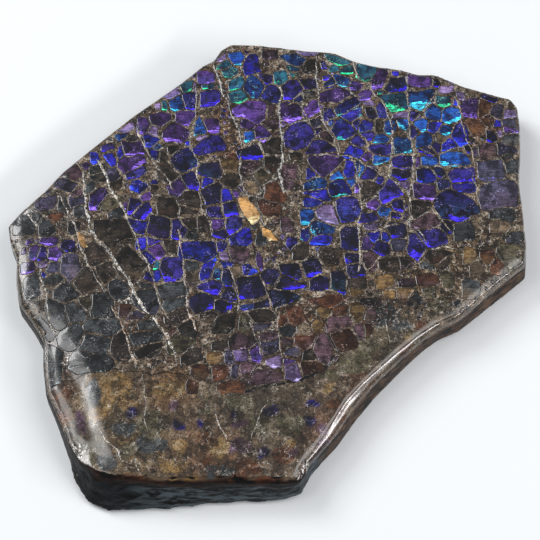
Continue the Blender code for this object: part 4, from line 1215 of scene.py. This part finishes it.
def stone_material():
    """Veins and rock: speckled grains, painted white glints, soft blotches, and matt dark stone where broken.
    """
    nodes = Nodes("ammolite_rock")
    ground = nodes.attribute("ground", "Color")
    patch = nodes.attribute("patch", "Color")
    broken = nodes.attribute("broken", "Fac")
    rough_and_glint = nodes.attribute("rough_and_glint", "Fac")
    mottle = nodes.attribute("mottle", "Fac")
    black = (0.006, 0.005, 0.004, 1.0)
    clean = nodes.math("SUBTRACT", 1.0, broken)
    veined = nodes.math("SUBTRACT", 1.0, mottle)
    place = nodes.stirred(1.6 * MM, 2.6 * MM)
    cells = nodes.cells(3.6 * MM, place)
    small = nodes.cells(1.3 * MM, place)
    wide = nodes.noise(3.4 * MM, 5.0, 0.7)
    pick = nodes.math("ADD", nodes.math("MULTIPLY", nodes.channel(cells, 0), 0.30), wide)
    colour = nodes.mix(nodes.ramp(pick, 0.58, 0.78), ground, patch)
    tone = nodes.math("ADD", nodes.math("MULTIPLY", nodes.channel(cells, 1), 0.35),
                      nodes.math("MULTIPLY", nodes.channel(small, 1), 0.30))
    tone = nodes.math("ADD", tone, nodes.noise(1.8 * MM, 4.0, 0.7))
    shade = nodes.ramp(tone, 0.92, 0.58)
    colour = nodes.mix(nodes.math("MULTIPLY", shade, 0.75), colour, black)
    deep = nodes.math("MULTIPLY", nodes.ramp(nodes.noise(2.4 * MM, 3.0, 0.6), 0.50, 0.42), veined)
    colour = nodes.mix(nodes.math("MULTIPLY", deep, 0.8), colour, (0.012, 0.009, 0.007, 1.0))
    rusty = nodes.math("MULTIPLY", nodes.ramp(nodes.noise(1.4 * MM, 3.0, 0.6), 0.53, 0.64),
                       nodes.math("ADD", nodes.math("MULTIPLY", veined, 0.35), 0.12))
    colour = nodes.mix(nodes.math("MULTIPLY", rusty, clean), colour, (0.20, 0.085, 0.035, 1.0))
    fine = nodes.noise(0.42 * MM, 3.0, 0.75)
    dark = nodes.math("MULTIPLY", nodes.ramp(fine, 0.51, 0.46), nodes.math("ADD", 0.55,
                      nodes.math("MULTIPLY", veined, 0.35)))
    colour = nodes.mix(dark, colour, black)
    # Pale specks, stronger in the veins: partly light grains of the rock, partly painted glints.
    pale = nodes.ramp(nodes.noise(0.75 * MM, 3.0, 0.75), 0.53, 0.62)
    pale = nodes.math("MULTIPLY", nodes.math("MULTIPLY", pale, clean),
                      nodes.ramp(nodes.noise(1.7 * MM, 3.0), 0.47, 0.58))
    pale = nodes.math("MULTIPLY", pale, nodes.math("ADD", nodes.math("MULTIPLY", veined, 0.75), 0.18))
    colour = nodes.mix(pale, colour, nodes.mix(0.6, patch, (0.62, 0.55, 0.47, 1.0)))
    black_threads = nodes.math("MULTIPLY", nodes.threads(1.7 * MM, 0.02), clean)
    colour = nodes.mix(nodes.math("MULTIPLY", black_threads, 0.85), colour, black)
    # Pale threads: partly light veinlets of the rock, partly painted glints.
    pale_threads = nodes.math("MULTIPLY", nodes.threads(2.0 * MM, 0.011),
                              nodes.math("MULTIPLY", clean, nodes.ramp(wide, 0.50, 0.60)))
    colour = nodes.mix(nodes.math("MULTIPLY", pale_threads, 0.9), colour,
                       nodes.mix(0.6, patch, (0.95, 0.90, 0.82, 1.0)))
    # Painted white glints on the rough hollows and on the glittering veins.
    spark = nodes.math("MULTIPLY", rough_and_glint, nodes.ramp(nodes.noise(0.7 * MM, 3.0, 0.8), 0.54, 0.58))
    colour = nodes.mix(spark, colour, (0.95, 0.93, 0.88, 1.0))
    nodes.link(colour, nodes.shader.inputs["Base Color"])
    nodes.link(nodes.math("ADD", nodes.math("MULTIPLY", broken, 0.35), 0.20),
               nodes.shader.inputs["Roughness"])
    nodes.shader.inputs["Coat Weight"].default_value = 0.6
    nodes.shader.inputs["Coat Roughness"].default_value = 0.09
    nodes.bump(nodes.math("MULTIPLY", fine, nodes.math("ADD", nodes.math("MULTIPLY", veined, 0.85), 0.15)),
               0.07 * MM, 0.8)
    return nodes.material


def front_material():
    """Dark broken slate of the front face, dull and barely shining."""
    nodes = Nodes("ammolite_front_rock")
    ground = nodes.attribute("ground", "Color")
    streaks = nodes.noise(2.6 * MM, 4.0, 0.6, nodes.mapped(0.0, (0.6, 1.0, 2.4)), 0.5)
    colour = nodes.mix(nodes.ramp(streaks, 0.44, 0.62), (0.003, 0.003, 0.003, 1.0), ground)
    nodes.link(colour, nodes.shader.inputs["Base Color"])
    nodes.shader.inputs["Roughness"].default_value = 0.45
    nodes.shader.inputs["Specular IOR Level"].default_value = 0.15
    nodes.bump(streaks, 0.5 * MM, 1.0)
    return nodes.material


def floor_material():
    """Plain white sweep."""
    material = bpy.data.materials.new("pale_floor")
    material.use_nodes = True
    shader = material.node_tree.nodes["Principled BSDF"]
    shader.inputs["Base Color"].default_value = (0.87, 0.90, 0.92, 1.0)
    shader.inputs["Roughness"].default_value = 0.9
    shader.inputs["Specular IOR Level"].default_value = 0.1
    return material


def add_floor():
    """A wide pale floor under the slab."""
    mesh = bpy.data.meshes.new("floor")
    half = 1.5
    low = -0.02 * MM
    corners = [(-half, -half, low), (half, -half, low), (half, half, low), (-half, half, low)]
    mesh.from_pydata(corners, [], [(0, 1, 2, 3)])
    mesh.materials.append(floor_material())
    floor = bpy.data.objects.new("floor", mesh)
    bpy.context.scene.collection.objects.link(floor)


def add_area_light(name, azimuth, elevation, distance, width, height, power, colour):
    """A soft box that faces the slab."""
    turn = math.radians(azimuth)
    climb = math.radians(elevation)
    place = Vector((math.sin(turn) * math.cos(climb), math.cos(turn) * math.cos(climb),
                    math.sin(climb))) * distance
    data = bpy.data.lights.new(name, "AREA")
    data.shape = "RECTANGLE"
    data.size = width
    data.size_y = height
    data.energy = power
    data.color = colour
    light = bpy.data.objects.new(name, data)
    light.location = place
    light.rotation_euler = (-place).to_track_quat("-Z", "Y").to_euler()
    bpy.context.scene.collection.objects.link(light)


def light_scene():
    """Soft boxes low at the sides, so that the rolled edges shine and the top stays dark."""
    world = bpy.data.worlds.new("studio")
    world.use_nodes = True
    world.node_tree.nodes["Background"].inputs["Color"].default_value = (0.93, 0.96, 1.0, 1.0)
    world.node_tree.nodes["Background"].inputs["Strength"].default_value = 0.27
    bpy.context.scene.world = world
    add_area_light("left_box", -57.0, 42.0, 1.0, 0.44, 0.44, 5.2, (1.0, 1.0, 1.0))
    add_area_light("right_box", 114.0, 32.0, 1.0, 0.7, 0.08, 4.2, (1.0, 0.97, 0.98))
    add_area_light("left_fill", -90.0, 62.0, 1.2, 0.5, 0.5, 2.6, (1.0, 0.99, 0.98))
    add_area_light("right_fill", 90.0, 62.0, 1.2, 0.5, 0.5, 2.6, (1.0, 0.99, 0.98))


def add_camera():
    """The photograph's view."""
    back, _, _ = camera_axes()
    data = bpy.data.cameras.new("camera")
    data.sensor_width = SENSOR_WIDTH
    data.lens = SENSOR_WIDTH * CAMERA_DISTANCE / VIEW_WIDTH
    data.clip_start = 0.01
    camera = bpy.data.objects.new("camera", data)
    camera.location = CAMERA_TARGET + back * CAMERA_DISTANCE
    camera.rotation_euler = back.to_track_quat("Z", "Y").to_euler()
    bpy.context.scene.collection.objects.link(camera)
    bpy.context.scene.camera = camera


def main():
    rng = random.Random(SEED)
    stone = stone_mesh()
    rim = section_outline(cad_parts[NODE].data, EDGE_HEIGHT)
    dress_stone(stone, Edge(rim))
    surface = Surface(stone)
    outline = inset_ring(rim, 0.3 * MM)
    plates = shell_plates(surface, outline, rng)
    veins = raised_veins(surface)
    rock = stone_material()
    stone.data.materials.clear()
    stone.data.materials.append(rock)
    stone.data.materials.append(front_material())
    for polygon in stone.data.polygons:
        middle = polygon.center
        in_front = polygon.normal.y < -0.3 and middle.y < -0.047 and middle.x < 9.0 * MM
        if in_front or (abs(polygon.normal.z) < 0.6 and middle.z < 7.4 * MM):
            polygon.material_index = 1
    veins.data.materials.append(rock)
    plates.data.materials.append(plate_material())
    for piece in (stone, plates, veins):
        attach(piece, "root")
    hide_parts(NODE)
    add_floor()
    light_scene()
    add_camera()
    bpy.context.scene.view_settings.view_transform = "Standard"


main()
